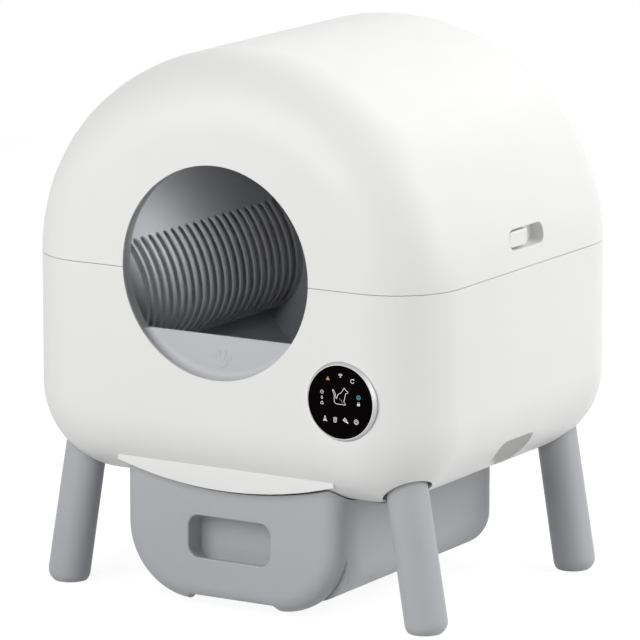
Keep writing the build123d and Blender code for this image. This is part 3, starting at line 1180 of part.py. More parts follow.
PANEL_SCREW_X = HANDLE_WIDTH / 2 + HANDLE_HEIGHT / 2
PANEL_SCREWS = [
    Plane(origin=(side * PANEL_SCREW_X, BIN_FRONT_Y + BIN_WALL, HANDLE_Z + end * PANEL_SCREW_RISE),
          x_dir=(1, 0, 0), z_dir=(0, 1, 0))
    for side in (-1, 1) for end in (-1, 1)
]
with BuildPart() as panel_room:
    add(panel_form(PANEL_WALL))
    add(handle_form(HANDLE_WALL), mode=Mode.SUBTRACT)
    add(notch_form(PANEL_WALL), mode=Mode.SUBTRACT)
    with BuildSketch(front_plane(BIN_FRONT_Y)):
        with Locations([(place.origin.X, place.origin.Z) for place in PANEL_SCREWS]):
            Circle(SCREW_HEAD_RADIUS)
    extrude(amount=PANEL_DEPTH, mode=Mode.SUBTRACT)

with BuildPart() as drawer_front:
    add(panel_form(0))
    add(panel_room.part, mode=Mode.SUBTRACT)
    add(handle_form(HANDLE_WALL))
    with BuildSketch(front_plane(DRAWER_FRONT_Y - OVERRUN)):
        Rectangle(2 * DRAWER_WIDTH, 2 * DRAWER_WIDTH)
    extrude(amount=-OVERRUN, mode=Mode.SUBTRACT)
    add(handle_form(0), mode=Mode.SUBTRACT)
    mouth = drawer_front.faces().sort_by(Axis.Y)[0].inner_wires()
    fillet(mouth.edges(), radius=HANDLE_LIP)
    add(notch_form(0), mode=Mode.SUBTRACT)
    add(body_clear, mode=Mode.SUBTRACT)
    panel_hole = BIN_WALL + PANEL_SCREW_BITE + SCREW_BITE
    add(screw_holes(PANEL_SCREWS, panel_hole), mode=Mode.SUBTRACT)
save(drawer_front.part, "drawer_front")



def collar_form(grow):
    """Strips on the bin's sides up to the round of the shell, larger by the grow to the inside and rear."""
    width = BIN_WALL + grow
    length = BIN_COLLAR + grow
    with BuildPart() as form:
        for side in (-1, 1):
            with BuildSketch(level_plane(BIN_TOP, side * (BIN_HALF - width / 2), BIN_FRONT_Y + length / 2)):
                Rectangle(width, length)
            extrude(amount=FRONT_EDGE)
        add(body_clear, mode=Mode.SUBTRACT)
    return form.part


with BuildPart() as drawer_bin:
    add(bin_form(0, BIN_TOP))
    flange_length = BIN_REAR_Y - BIN_REAR_ROUND - RAIL_FRONT_Y
    for bin_side in (-1, 1):
        with BuildSketch(level_plane(BIN_TOP, bin_side * (BIN_HALF + BIN_FLANGE / 2),
                                     RAIL_FRONT_Y + flange_length / 2)):
            Rectangle(BIN_FLANGE, flange_length)
        extrude(amount=-BIN_FLANGE_WALL)
    add(bin_form(BIN_WALL, BIN_TOP + OVERRUN), mode=Mode.SUBTRACT)
    add(collar_form(0))
    add(handle_form(HANDLE_WALL + SEAT_GAP), mode=Mode.SUBTRACT)
    add(screw_holes(PANEL_SCREWS, BIN_WALL + OVERRUN), mode=Mode.SUBTRACT)
save(drawer_bin.part, "drawer_bin")
save(screw_group(PANEL_SCREWS, BIN_WALL + PANEL_SCREW_BITE), "drawer_screws")


def bin_plan(z, inset, depth):
    """A plate with the bin's outline, drawn in by the inset, from a height downwards."""
    corner = BIN_REAR_ROUND - min(inset, BIN_REAR_ROUND / 2)
    with BuildPart() as plate:
        with BuildSketch(level_plane(z, y=(BIN_FRONT_Y + BIN_REAR_Y) / 2)) as outline:
            Rectangle(2 * (BIN_HALF - inset), BIN_LENGTH - 2 * inset)
            fillet(outline.vertices().group_by(Axis.Y)[-1], radius=corner)
        extrude(amount=-depth)
    return plate.part


SKIRT_INSET = BIN_WALL + SEAT_GAP
with BuildPart() as bag_frame:
    add(bin_plan(BIN_TOP + BAG_FRAME_WALL, 0, BAG_FRAME_WALL))
    add(bin_plan(BIN_TOP, SKIRT_INSET, BAG_SKIRT))
    add(bin_plan(BIN_TOP, SKIRT_INSET + BAG_SKIRT_WALL, BAG_SKIRT + OVERRUN), mode=Mode.SUBTRACT)
    add(bin_plan(BIN_TOP + OVERRUN, BAG_FRAME_WIDTH, 2 * OVERRUN), mode=Mode.SUBTRACT)
    add(collar_form(SEAT_GAP), mode=Mode.SUBTRACT)
save(bag_frame.part, "bag_frame")

RAIL_REST_Z = BIN_TOP - BIN_FLANGE_WALL - RAIL_REST_GAP
for rail_name, rail_side in (("left", -1), ("right", 1)):
    with BuildPart() as rail:
        with BuildSketch(front_plane(RAIL_REAR_Y)):
            outer_x = RAIL_INNER_X + RAIL_WALL
            with BuildLine():
                Polyline((rail_side * (BIN_HALF + RAIL_SIDE_GAP), RAIL_REST_Z),
                         (rail_side * RAIL_INNER_X, RAIL_REST_Z),
                         (rail_side * RAIL_INNER_X, BODY_BOTTOM),
                         (rail_side * (outer_x + RAIL_FOOT), BODY_BOTTOM),
                         (rail_side * (outer_x + RAIL_FOOT), BODY_BOTTOM - RAIL_WALL),
                         (rail_side * outer_x, BODY_BOTTOM - RAIL_WALL),
                         (rail_side * outer_x, RAIL_REST_Z - RAIL_WALL),
                         (rail_side * (BIN_HALF + RAIL_SIDE_GAP), RAIL_REST_Z - RAIL_WALL), close=True)
            make_face()
        extrude(amount=RAIL_REAR_Y - RAIL_FRONT_Y)
        add(screw_holes(RAIL_SCREWS[rail_side], RAIL_WALL), mode=Mode.SUBTRACT)
    save(rail.part, f"drawer_rail_{rail_name}")
save(screw_group(RAIL_SCREWS[-1] + RAIL_SCREWS[1], RAIL_WALL + SCREW_BITE), "rail_screws")

# Display
DISPLAY_FACE_Y = BODY_FRONT_Y - DISPLAY_PROUD
GLASS_REAR_Y = DISPLAY_FACE_Y + GLASS_RECESS + GLASS_THICKNESS
DISPLAY_AXIS = Axis((DISPLAY_X, 0, DISPLAY_HEIGHT), (0, 1, 0))
DISPLAY_SLEEVE = DISPLAY_RADIUS - DISPLAY_SLEEVE_WALL
LEDGE_REAR_Y = GLASS_REAR_Y + DISPLAY_LEDGE_WALL
with BuildPart() as display_ring:
    with BuildSketch(side_plane(DISPLAY_X, z=DISPLAY_HEIGHT)):
        with BuildLine():
            glass_seat = GLASS_RADIUS + SCREW_GAP
            ledge_radius = GLASS_RADIUS - DISPLAY_LEDGE
            root_y = BODY_FRONT_Y + DISPLAY_ROOT
            Polyline((DISPLAY_FACE_Y, glass_seat), (DISPLAY_FACE_Y, DISPLAY_FRONT_RADIUS),
                     (BODY_FRONT_Y, DISPLAY_RADIUS), (root_y, DISPLAY_RADIUS), (root_y, DISPLAY_SLEEVE),
                     (LEDGE_REAR_Y, DISPLAY_SLEEVE), (LEDGE_REAR_Y, ledge_radius),
                     (GLASS_REAR_Y, ledge_radius), (GLASS_REAR_Y, glass_seat), close=True)
        make_face()
    revolve(axis=DISPLAY_AXIS)
save(display_ring.part, "display_ring")

with BuildPart() as display_glass:
    with BuildSketch(front_plane(GLASS_REAR_Y, DISPLAY_X, DISPLAY_HEIGHT)):
        Circle(GLASS_RADIUS)
    extrude(amount=GLASS_THICKNESS)
save(display_glass.part, "display_glass")

with BuildPart() as display_board:
    with BuildSketch(front_plane(LEDGE_REAR_Y + BOARD_THICKNESS, DISPLAY_X, DISPLAY_HEIGHT)):
        Circle(DISPLAY_SLEEVE - DISPLAY_BOARD_GAP)
    extrude(amount=BOARD_THICKNESS)
save(display_board.part, "display_board")

# Control board, its parts and the position sensor
with BuildPart() as control_board:
    with BuildSketch(front_plane(BOARD_Y, CONTROL_X, CONTROL_Z)):
        Rectangle(CONTROL_WIDTH, CONTROL_HEIGHT)
    extrude(amount=-BOARD_THICKNESS)
    add(screw_holes(BOARD_SCREWS, BOARD_THICKNESS), mode=Mode.SUBTRACT)
save(control_board.part, "control_board")
save(screw_group(BOARD_SCREWS, BOARD_THICKNESS + STANDOFF_HEIGHT / 2), "board_screws")

PLUG_X = CONTROL_X + CONTROL_WIDTH / 2 - PLUG_LENGTH / 2
PLUG_Y = CONTROL_FACE_Y + PLUG_HEIGHT / 2
HARNESS_HEIGHT = CONTROL_Z - HARNESS_BELOW_BOARD
with BuildPart() as board_parts:
    with BuildSketch(front_plane(CONTROL_FACE_Y, CONTROL_X, CONTROL_Z)):
        Rectangle(CHIP_SIZE, CHIP_SIZE)
    extrude(amount=-CHIP_HEIGHT)
    with BuildSketch(front_plane(CONTROL_FACE_Y, CONTROL_X, CONTROL_Z)):
        with Locations([(CAPACITOR_ACROSS_SHARE * CONTROL_WIDTH, share * CONTROL_HEIGHT)
                        for share in CAPACITOR_UP_SHARES]):
            Circle(CAPACITOR_RADIUS)
    extrude(amount=-CAPACITOR_HEIGHT)
    with BuildSketch(front_plane(CONTROL_FACE_Y, PLUG_X, HARNESS_HEIGHT)):
        Rectangle(PLUG_LENGTH, PLUG_HEIGHT)
    extrude(amount=-PLUG_HEIGHT)
save(board_parts.part, "board_parts")

with BuildPart() as position_sensor:
    with BuildSketch(front_plane(BULKHEAD_Y, z=DRUM_AXIS_HEIGHT - MAGNET_ORBIT)):
        Rectangle(SENSOR_SIZE, SENSOR_SIZE)
    extrude(amount=SENSOR_THICKNESS)
save(position_sensor.part, "position_sensor")

with BuildPart() as power_inlet:
    with BuildSketch(front_plane(BODY_REAR_Y, INLET_X, INLET_HEIGHT)):
        Circle(INLET_RADIUS)
    extrude(amount=INLET_BODY_DEPTH)
    with BuildSketch(front_plane(BODY_REAR_Y - SHELL_WALL - SEAT_GAP, INLET_X, INLET_HEIGHT)):
        Circle(INLET_RADIUS + INLET_FLANGE)
    extrude(amount=INLET_FLANGE_WALL)
    with BuildSketch(front_plane(BODY_REAR_Y, INLET_X, INLET_HEIGHT)):
        Circle(INLET_SOCKET_RADIUS)
    extrude(amount=INLET_SOCKET_DEPTH, mode=Mode.SUBTRACT)
    with BuildSketch(front_plane(BODY_REAR_Y - INLET_PIN_RECESS, INLET_X, INLET_HEIGHT)):
        Circle(INLET_PIN_RADIUS)
    extrude(amount=INLET_SOCKET_DEPTH)
save(power_inlet.part, "power_inlet")

# Harness from the display to the control board, held along the right wall
HARNESS_WALL_X = HALF_WIDTH - SHELL_WALL - HARNESS_FROM_WALL
HARNESS_START_Y = LEDGE_REAR_Y + BOARD_THICKNESS
HARNESS_TURN_Y = HARNESS_START_Y + HARNESS_FRONT_RUN
HARNESS_START_Z = DISPLAY_HEIGHT - HARNESS_DROP
HARNESS_RUN_START_Y = HARNESS_TURN_Y + HARNESS_BEND_OFFSET
HARNESS_RUN_END_Y = PLUG_Y - HARNESS_BEND_OFFSET
HARNESS_CLIP_REACH = HARNESS_RUN_END_Y - HARNESS_RUN_START_Y - 2 * HARNESS_CLIP_MARGIN
HARNESS_CLIP_PITCH = HARNESS_CLIP_REACH / (HARNESS_CLIP_COUNT - 1)
with BuildPart() as harness:
    with BuildLine() as harness_path:
        FilletPolyline((DISPLAY_X, HARNESS_START_Y, HARNESS_START_Z),
                       (DISPLAY_X, HARNESS_TURN_Y, HARNESS_START_Z),
                       (HARNESS_WALL_X - HARNESS_BEND_OFFSET, HARNESS_TURN_Y, HARNESS_HEIGHT),
                       (HARNESS_WALL_X, HARNESS_RUN_START_Y, HARNESS_HEIGHT),
                       (HARNESS_WALL_X, HARNESS_RUN_END_Y, HARNESS_HEIGHT),
                       (HARNESS_WALL_X - HARNESS_BEND_OFFSET, PLUG_Y, HARNESS_HEIGHT),
                       (PLUG_X + PLUG_LENGTH / 2, PLUG_Y, HARNESS_HEIGHT), radius=HARNESS_BEND)
    with BuildSketch(front_plane(HARNESS_START_Y, DISPLAY_X, HARNESS_START_Z)):
        Circle(HARNESS_RADIUS)
    sweep(path=harness_path.line)
save(harness.part, "harness")

with BuildPart() as harness_clips:
    clip_reach = HARNESS_FROM_WALL + HARNESS_CLIP_SIZE / 2
    clip_x = HALF_WIDTH - SHELL_WALL - SEAT_GAP - clip_reach / 2
    clip_y = (HARNESS_RUN_START_Y + HARNESS_RUN_END_Y) / 2
    with BuildSketch(level_plane(HARNESS_HEIGHT - HARNESS_CLIP_SIZE / 2, clip_x, clip_y)):
        with GridLocations(clip_reach, HARNESS_CLIP_PITCH, 1, HARNESS_CLIP_COUNT):
            Rectangle(clip_reach, HARNESS_CLIP_SIZE)
    extrude(amount=HARNESS_CLIP_SIZE)
    add(body_seat, mode=Mode.INTERSECT)
    with BuildSketch(front_plane(BODY_REAR_Y, HARNESS_WALL_X, HARNESS_HEIGHT)):
        Circle(HARNESS_RADIUS + SCREW_GAP)
    extrude(amount=BODY_DEPTH, mode=Mode.SUBTRACT)
save(harness_clips.part, "harness_clips")
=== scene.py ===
"""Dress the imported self-cleaning litter box and set it in a plain studio.

Lengths are in metres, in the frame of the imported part: +Z is up and the entry faces -Y.
The solids keep their places. Each gets the finish of its material slot, and the display
gets its lit signs.
"""
import json
import logging
import math
from abc import ABC, abstractmethod
from dataclasses import dataclass
from enum import Enum
from typing import Iterable, Sequence

import bmesh
import bpy
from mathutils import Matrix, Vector


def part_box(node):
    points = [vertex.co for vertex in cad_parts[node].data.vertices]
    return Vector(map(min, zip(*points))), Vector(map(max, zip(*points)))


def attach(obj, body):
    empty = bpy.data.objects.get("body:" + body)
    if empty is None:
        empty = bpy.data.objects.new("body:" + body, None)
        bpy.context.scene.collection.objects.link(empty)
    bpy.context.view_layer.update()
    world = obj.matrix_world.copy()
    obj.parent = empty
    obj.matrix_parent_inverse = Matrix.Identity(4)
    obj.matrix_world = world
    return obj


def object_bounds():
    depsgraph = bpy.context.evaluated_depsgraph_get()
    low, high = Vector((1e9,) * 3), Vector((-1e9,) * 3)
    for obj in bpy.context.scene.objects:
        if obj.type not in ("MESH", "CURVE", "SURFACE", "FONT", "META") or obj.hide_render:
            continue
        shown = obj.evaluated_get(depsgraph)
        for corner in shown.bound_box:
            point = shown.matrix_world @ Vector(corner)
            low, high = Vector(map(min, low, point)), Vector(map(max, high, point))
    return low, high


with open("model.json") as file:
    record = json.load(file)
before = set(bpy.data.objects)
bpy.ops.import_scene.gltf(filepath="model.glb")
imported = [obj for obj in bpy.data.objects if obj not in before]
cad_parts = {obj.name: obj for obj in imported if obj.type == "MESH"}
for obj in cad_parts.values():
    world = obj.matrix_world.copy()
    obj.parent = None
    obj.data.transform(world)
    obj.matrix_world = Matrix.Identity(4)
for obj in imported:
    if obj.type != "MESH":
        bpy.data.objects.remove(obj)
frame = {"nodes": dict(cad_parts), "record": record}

CAD_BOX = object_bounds()
MM = 0.001
NOISE_LOW = 0.3
NOISE_HIGH = 0.7
EDGE_SAMPLES = 4
LOG = logging.getLogger("litter_box")

Colour = tuple[float, float, float]
Point = tuple[float, float]


class Slot(Enum):
    """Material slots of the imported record."""

    WHITE_SHELL = "white_shell"
    WHITE_TRIM = "white_trim"
    GREY_PLASTIC = "grey_plastic"
    PALE_GREY = "pale_grey"
    DRUM_GREY = "drum_grey"
    DARK_PLASTIC = "dark_plastic"
    GEAR_WHITE = "gear_white"
    BLACK_GLASS = "black_glass"
    SILVER_RING = "silver_ring"
    RUBBER = "rubber"
    FOAM = "foam"
    STEEL = "steel"
    BRONZE = "bronze"
    BOARD = "board"
    MOTOR = "motor"
    CABLE = "cable"


class Glow(Enum):
    """Colours of the lit signs."""

    WHITE = (0.92, 0.93, 0.93)
    AMBER = (0.55, 0.36, 0.08)
    CYAN = (0.10, 0.52, 0.60)


class ShaderGraph:
    """The node tree of one material, with the few nodes that the finishes share."""

    def __init__(self, name: str) -> None:
        """Start a tree with a principled shader on its output.

        Args:
            name: Name of the new material.
        """
        self.material = bpy.data.materials.new(name)
        self.material.use_nodes = True
        self.tree = self.material.node_tree
        self.tree.nodes.clear()
        self.shader = self.add("ShaderNodeBsdfPrincipled")
        output = self.add("ShaderNodeOutputMaterial")
        self.link(self.shader.outputs["BSDF"], output.inputs["Surface"])
        self.place = self.add("ShaderNodeTexCoord").outputs["Object"]

    def add(self, kind: str) -> bpy.types.Node:
        """Add a node of a kind."""
        return self.tree.nodes.new(kind)

    def link(self, source: bpy.types.NodeSocket, target: bpy.types.NodeSocket) -> None:
        """Join two sockets."""
        self.tree.links.new(source, target)

    def set(self, socket: str, value: float | Colour) -> None:
        """Write one value on a socket of the shader.

        Args:
            socket: Name of the shader's input.
            value: A number, or a linear colour.
        """
        if isinstance(value, tuple):
            value = (*value, 1.0)
        self.shader.inputs[socket].default_value = value

    def stretched(self, scale: Sequence[float]) -> bpy.types.NodeSocket:
        """Object coordinates multiplied along each axis.

        Args:
            scale: Factor on X, Y and Z.

        Returns:
            The vector socket.
        """
        mapping = self.add("ShaderNodeMapping")
        mapping.inputs["Scale"].default_value = scale
        self.link(self.place, mapping.inputs["Vector"])
        return mapping.outputs["Vector"]

    def noise(self, feature: float, detail: float = 2.0,
              vector: bpy.types.NodeSocket | None = None) -> bpy.types.NodeSocket:
        """Soft noise with features of a given length.

        Args:
            feature: Length of one feature.
            detail: Number of finer layers.
            vector: Coordinates to read, or none for the object's own.

        Returns:
            The factor socket.
        """
        texture = self.add("ShaderNodeTexNoise")
        texture.inputs["Scale"].default_value = 1.0 / feature
        texture.inputs["Detail"].default_value = detail
        self.link(vector or self.place, texture.inputs["Vector"])
        return texture.outputs["Fac"]

    def spread(self, factor: bpy.types.NodeSocket, low: float, high: float) -> bpy.types.NodeSocket:
        """Map the middle of a noise to a range of values.

        Args:
            factor: The noise.
            low: Value at the noise's low side.
            high: Value at its high side.

        Returns:
            The value socket.
        """
        remap = self.add("ShaderNodeMapRange")
        remap.inputs["From Min"].default_value = NOISE_LOW
        remap.inputs["From Max"].default_value = NOISE_HIGH
        remap.inputs["To Min"].default_value = low
        remap.inputs["To Max"].default_value = high
        self.link(factor, remap.inputs["Value"])
        return remap.outputs["Result"]

    def tint(self, factor: bpy.types.NodeSocket, first: Colour, second: Colour) -> bpy.types.NodeSocket:
        """Blend two colours by a factor.

        Args:
            factor: Share of the second colour.
            first: Linear colour at zero.
            second: Linear colour at one.

        Returns:
            The colour socket.
        """
        mix = self.add("ShaderNodeMix")
        mix.data_type = "RGBA"
        ends = [socket for socket in mix.inputs if socket.type == "RGBA"]
        for socket, colour in zip(ends, (first, second)):
            socket.default_value = (*colour, 1.0)
        self.link(factor, mix.inputs["Factor"])
        return next(socket for socket in mix.outputs if socket.type == "RGBA")

    def relief(self, height: bpy.types.NodeSocket, depth: float, edge: float = 0.0) -> None:
        """Give the surface a fine relief, over softened edges.

        Args:
            height: The pattern, from zero to one.
            depth: Height of the relief.
            edge: Radius of the softened edges, or zero for none.
        """
        bump = self.add("ShaderNodeBump")
        bump.inputs["Strength"].default_value = 1.0
        bump.inputs["Distance"].default_value = depth
        self.link(height, bump.inputs["Height"])
        if edge > 0.0:
            soft = self.add("ShaderNodeBevel")
            soft.samples = EDGE_SAMPLES
            soft.inputs["Radius"].default_value = edge
            self.link(soft.outputs["Normal"], bump.inputs["Normal"])
        self.link(bump.outputs["Normal"], self.shader.inputs["Normal"])


def shade(colour: Colour, share: float) -> Colour:
    """A colour made darker or lighter by a share."""
    return tuple(min(1.0, channel * share) for channel in colour)


class Finish(ABC):
    """A surface finish that can make its material."""

    name: str

    @abstractmethod
    def material(self) -> bpy.types.Material:
        """Make the finish's material."""


@dataclass(frozen=True)
class MouldedPlastic(Finish):
    """Moulded plastic with a fine grain, slight flow marks and softened edges."""

    name: str
    colour: Colour
    roughness: float = 0.45
    roughness_spread: float = 0.05
    tint_share: float = 0.015
    patch: float = 0.12
    patch_detail: float = 3.0
    streaks_per_patch: float = 5.0
    streak_detail: float = 4.0
    grain: float = 0.9 * MM
    grain_depth: float = 0.006 * MM
    edge: float = 0.5 * MM
    specular: float = 0.4

    def material(self) -> bpy.types.Material:
        """Make the plastic.

        Returns:
            The new material.
        """
        graph = ShaderGraph(self.name)
        flow = graph.noise(self.patch, self.patch_detail)
        colour = graph.tint(flow, shade(self.colour, 1 - self.tint_share),
                            shade(self.colour, 1 + self.tint_share))
        graph.link(colour, graph.shader.inputs["Base Color"])
        grain = graph.noise(self.grain)
        streaks = graph.noise(self.patch / self.streaks_per_patch, self.streak_detail)
        rough = graph.spread(streaks, self.roughness - self.roughness_spread,
                             self.roughness + self.roughness_spread)
        graph.link(rough, graph.shader.inputs["Roughness"])
        graph.relief(grain, self.grain_depth, self.edge)
        graph.set("Specular IOR Level", self.specular)
        return graph.material


@dataclass(frozen=True)
class GlossWindow(Finish):
    """Gloss black window with faint wipe marks."""

    name: str
    colour: Colour
    roughness: float = 0.10
    wipe: float = 18 * MM
    wipe_detail: float = 4.0
    wipe_stretch: tuple[float, float, float] = (1.0, 1.0, 2.4)
    wipe_tint: float = 1.6
    wipe_roughness: float = 1.8
    specular: float = 0.01

    def material(self) -> bpy.types.Material:
        """Make the window's gloss.

        Returns:
            The new material.
        """
        graph = ShaderGraph(self.name)
        wipe = graph.noise(self.wipe, self.wipe_detail, graph.stretched(self.wipe_stretch))
        colour = graph.tint(wipe, self.colour, shade(self.colour, self.wipe_tint))
        graph.link(colour, graph.shader.inputs["Base Color"])
        rough = graph.spread(wipe, self.roughness, self.roughness * self.wipe_roughness)
        graph.link(rough, graph.shader.inputs["Roughness"])
        graph.set("Specular IOR Level", self.specular)
        return graph.material


@dataclass(frozen=True)
class Metal(Finish):
    """Plated or turned metal with fine marks along one direction."""

    name: str
    colour: Colour
    roughness: float = 0.32
    roughness_spread: float = 0.06
    tint_share: float = 0.06
    marks: tuple[float, float, float] = (1.0, 30.0, 1.0)
    mark_length: float = 8 * MM
    mark_detail: float = 3.0
    mark_depth: float = 0.003 * MM
    edge: float = 0.25 * MM

    def material(self) -> bpy.types.Material:
        """Make the metal.

        Returns:
            The new material.
        """
        graph = ShaderGraph(self.name)
        lines = graph.noise(self.mark_length, self.mark_detail, graph.stretched(self.marks))
        colour = graph.tint(lines, shade(self.colour, 1 - self.tint_share),
                            shade(self.colour, 1 + self.tint_share))
        graph.link(colour, graph.shader.inputs["Base Color"])
        rough = graph.spread(lines, self.roughness - self.roughness_spread,
                             self.roughness + self.roughness_spread)
        graph.link(rough, graph.shader.inputs["Roughness"])
        graph.relief(lines, self.mark_depth, self.edge)
        graph.set("Metallic", 1.0)
        return graph.material


@dataclass(frozen=True)
class Elastomer(Finish):
    """Rubber, foam or a cable's sleeve, with pores or a dull skin."""

    name: str
    colour: Colour
    roughness: float = 0.8
    roughness_spread: float = 0.08
    pore: float = 1.2 * MM
    pore_depth: float = 0.05 * MM
    pores_per_dust: float = 20.0
    dust_detail: float = 3.0
    dust_dark: float = 0.8
    dust_light: float = 1.3
    specular: float = 0.25

    def material(self) -> bpy.types.Material:
        """Make the soft surface.

        Returns:
            The new material.
        """
        graph = ShaderGraph(self.name)
        pores = graph.add("ShaderNodeTexVoronoi")
        pores.inputs["Scale"].default_value = 1.0 / self.pore
        graph.link(graph.place, pores.inputs["Vector"])
        dust = graph.noise(self.pore * self.pores_per_dust, self.dust_detail)
        colour = graph.tint(dust, shade(self.colour, self.dust_dark), shade(self.colour, self.dust_light))
        graph.link(colour, graph.shader.inputs["Base Color"])
        rough = graph.spread(dust, self.roughness - self.roughness_spread,
                             self.roughness + self.roughness_spread)
        graph.link(rough, graph.shader.inputs["Roughness"])
        graph.relief(pores.outputs["Distance"], self.pore_depth)
        graph.set("Specular IOR Level", self.specular)
        return graph.material


@dataclass(frozen=True)
class CircuitBoard(Finish):
    """Solder mask over rows of conductor lines, on a board that stands upright."""

    name: str
    mask: Colour
    conductor: Colour
    pitch: float = 2.2 * MM
    line: float = 0.16
    track_pitches: float = 3.5
    track_height: float = 0.03 * MM
    mottle: float = 6 * MM
    mottle_detail: float = 3.0
    least_roughness: float = 0.28
    most_roughness: float = 0.42

    def material(self) -> bpy.types.Material:
        """Make the board's face.

        Returns:
            The new material.
        """
        graph = ShaderGraph(self.name)
        upright = graph.add("ShaderNodeMapping")
        upright.inputs["Rotation"].default_value = (math.radians(90), 0.0, 0.0)
        graph.link(graph.place, upright.inputs["Vector"])
        tracks = graph.add("ShaderNodeTexBrick")
        tracks.inputs["Scale"].default_value = 1.0 / self.pitch
        tracks.inputs["Mortar Size"].default_value = self.line / 2
        tracks.inputs["Brick Width"].default_value = self.track_pitches
        tracks.inputs["Row Height"].default_value = 1.0
        graph.link(upright.outputs["Vector"], tracks.inputs["Vector"])
        colour = graph.tint(tracks.outputs["Fac"], self.mask, self.conductor)
        graph.link(colour, graph.shader.inputs["Base Color"])
        mottle = graph.noise(self.mottle, self.mottle_detail)
        rough = graph.spread(mottle, self.least_roughness, self.most_roughness)
        graph.link(rough, graph.shader.inputs["Roughness"])
        graph.relief(tracks.outputs["Fac"], self.track_height)
        return graph.material


@dataclass(frozen=True)
class LitSign(Finish):
    """Printed sign lit from behind, a little brighter over its lamps."""

    name: str
    glow: Glow
    lamp: float = 2.5 * MM
    lamp_detail: float = 1.0
    dim_share: float = 0.82
    strength: float = 1.0
    unlit: Colour = (0.02, 0.02, 0.02)
    roughness: float = 0.5
    specular: float = 0.1

    def material(self) -> bpy.types.Material:
        """Make the lit print.

        Returns:
            The new material.
        """
        graph = ShaderGraph(self.name)
        lamps = graph.noise(self.lamp, self.lamp_detail)
        colour = graph.tint(lamps, shade(self.glow.value, self.dim_share), self.glow.value)
        graph.link(colour, graph.shader.inputs["Emission Color"])
        graph.set("Emission Strength", self.strength)
        graph.set("Base Color", self.unlit)
        graph.set("Roughness", self.roughness)
        graph.set("Specular IOR Level", self.specular)
        return graph.material


FINISHES: dict[Slot, Finish] = {
    Slot.WHITE_SHELL: MouldedPlastic("white_shell_satin", (0.83, 0.83, 0.82), roughness=0.42),
    Slot.WHITE_TRIM: MouldedPlastic("white_trim_satin", (0.84, 0.84, 0.83), roughness=0.38),
    Slot.GREY_PLASTIC: MouldedPlastic("cool_grey_grained", (0.43, 0.44, 0.46), roughness=0.5,
                                      grain_depth=0.012 * MM, tint_share=0.03),
    Slot.PALE_GREY: MouldedPlastic("pale_grey_grained", (0.53, 0.535, 0.555), roughness=0.45,
                                   grain_depth=0.008 * MM, tint_share=0.02),
    Slot.DRUM_GREY: MouldedPlastic("drum_grey_smooth", (0.42, 0.427, 0.45), roughness=0.4,
                                   tint_share=0.03),
    Slot.DARK_PLASTIC: MouldedPlastic("black_structural", (0.035, 0.035, 0.038), roughness=0.55,
                                      grain_depth=0.02 * MM, tint_share=0.08),
    Slot.GEAR_WHITE: MouldedPlastic("natural_acetal", (0.68, 0.67, 0.62), roughness=0.36,
                                    tint_share=0.02, edge=0.2 * MM),
    Slot.BLACK_GLASS: GlossWindow("gloss_black_window", (0.0015, 0.001, 0.001)),
    Slot.SILVER_RING: Metal("satin_silver", (0.52, 0.52, 0.53), roughness=0.5),
    Slot.RUBBER: Elastomer("matt_rubber", (0.03, 0.03, 0.03)),
    Slot.FOAM: Elastomer("closed_foam", (0.06, 0.06, 0.062), roughness=0.9, pore=2.5 * MM,
                         pore_depth=0.2 * MM),
    Slot.STEEL: Metal("zinc_plated_steel", (0.60, 0.61, 0.62), roughness=0.3),
    Slot.BRONZE: Metal("sintered_bronze", (0.55, 0.36, 0.16), roughness=0.42),
    Slot.BOARD: CircuitBoard("green_solder_mask", (0.012, 0.085, 0.03), (0.05, 0.20, 0.08)),
    Slot.MOTOR: Metal("plated_motor_can", (0.48, 0.48, 0.49), roughness=0.36),
    Slot.CABLE: Elastomer("black_sleeve", (0.02, 0.02, 0.02), roughness=0.6, pore=0.8 * MM,
                          pore_depth=0.03 * MM),
}


class Palette:
    """Materials made once per finish."""

    def __init__(self) -> None:
        """Start with no material made."""
        self._made: dict[str, bpy.types.Material] = {}

    def of(self, finish: Finish) -> bpy.types.Material:
        """The material of a finish, made at its first use.

        Args:
            finish: The finish to look up.

        Returns:
            Its material.
        """
        if finish.name not in self._made:
            self._made[finish.name] = finish.material()
        return self._made[finish.name]


NODE_SLOTS: dict[str, Slot] = {
    part["node"]: Slot(part["material_slot"]) for part in frame["record"]["subparts"]
}


@dataclass
class SubAssembly:
    """A group of solids that are dressed together."""

    title: str
    nodes: tuple[str, ...]

    def dress(self, palette: Palette) -> None:
        """Give every solid of the group the finish of its slot.

        Args:
            palette: Materials to take from.
        """
        for node in self.nodes:
            finish = FINISHES[NODE_SLOTS[node]]
            materials = frame["nodes"][node].data.materials
            materials.clear()
            materials.append(palette.of(finish))
            LOG.info("%s: %s in %s", self.title, node, finish.name)

    def build(self, palette: Palette) -> None:
        """Make the pieces that the solids don't hold, none by default."""


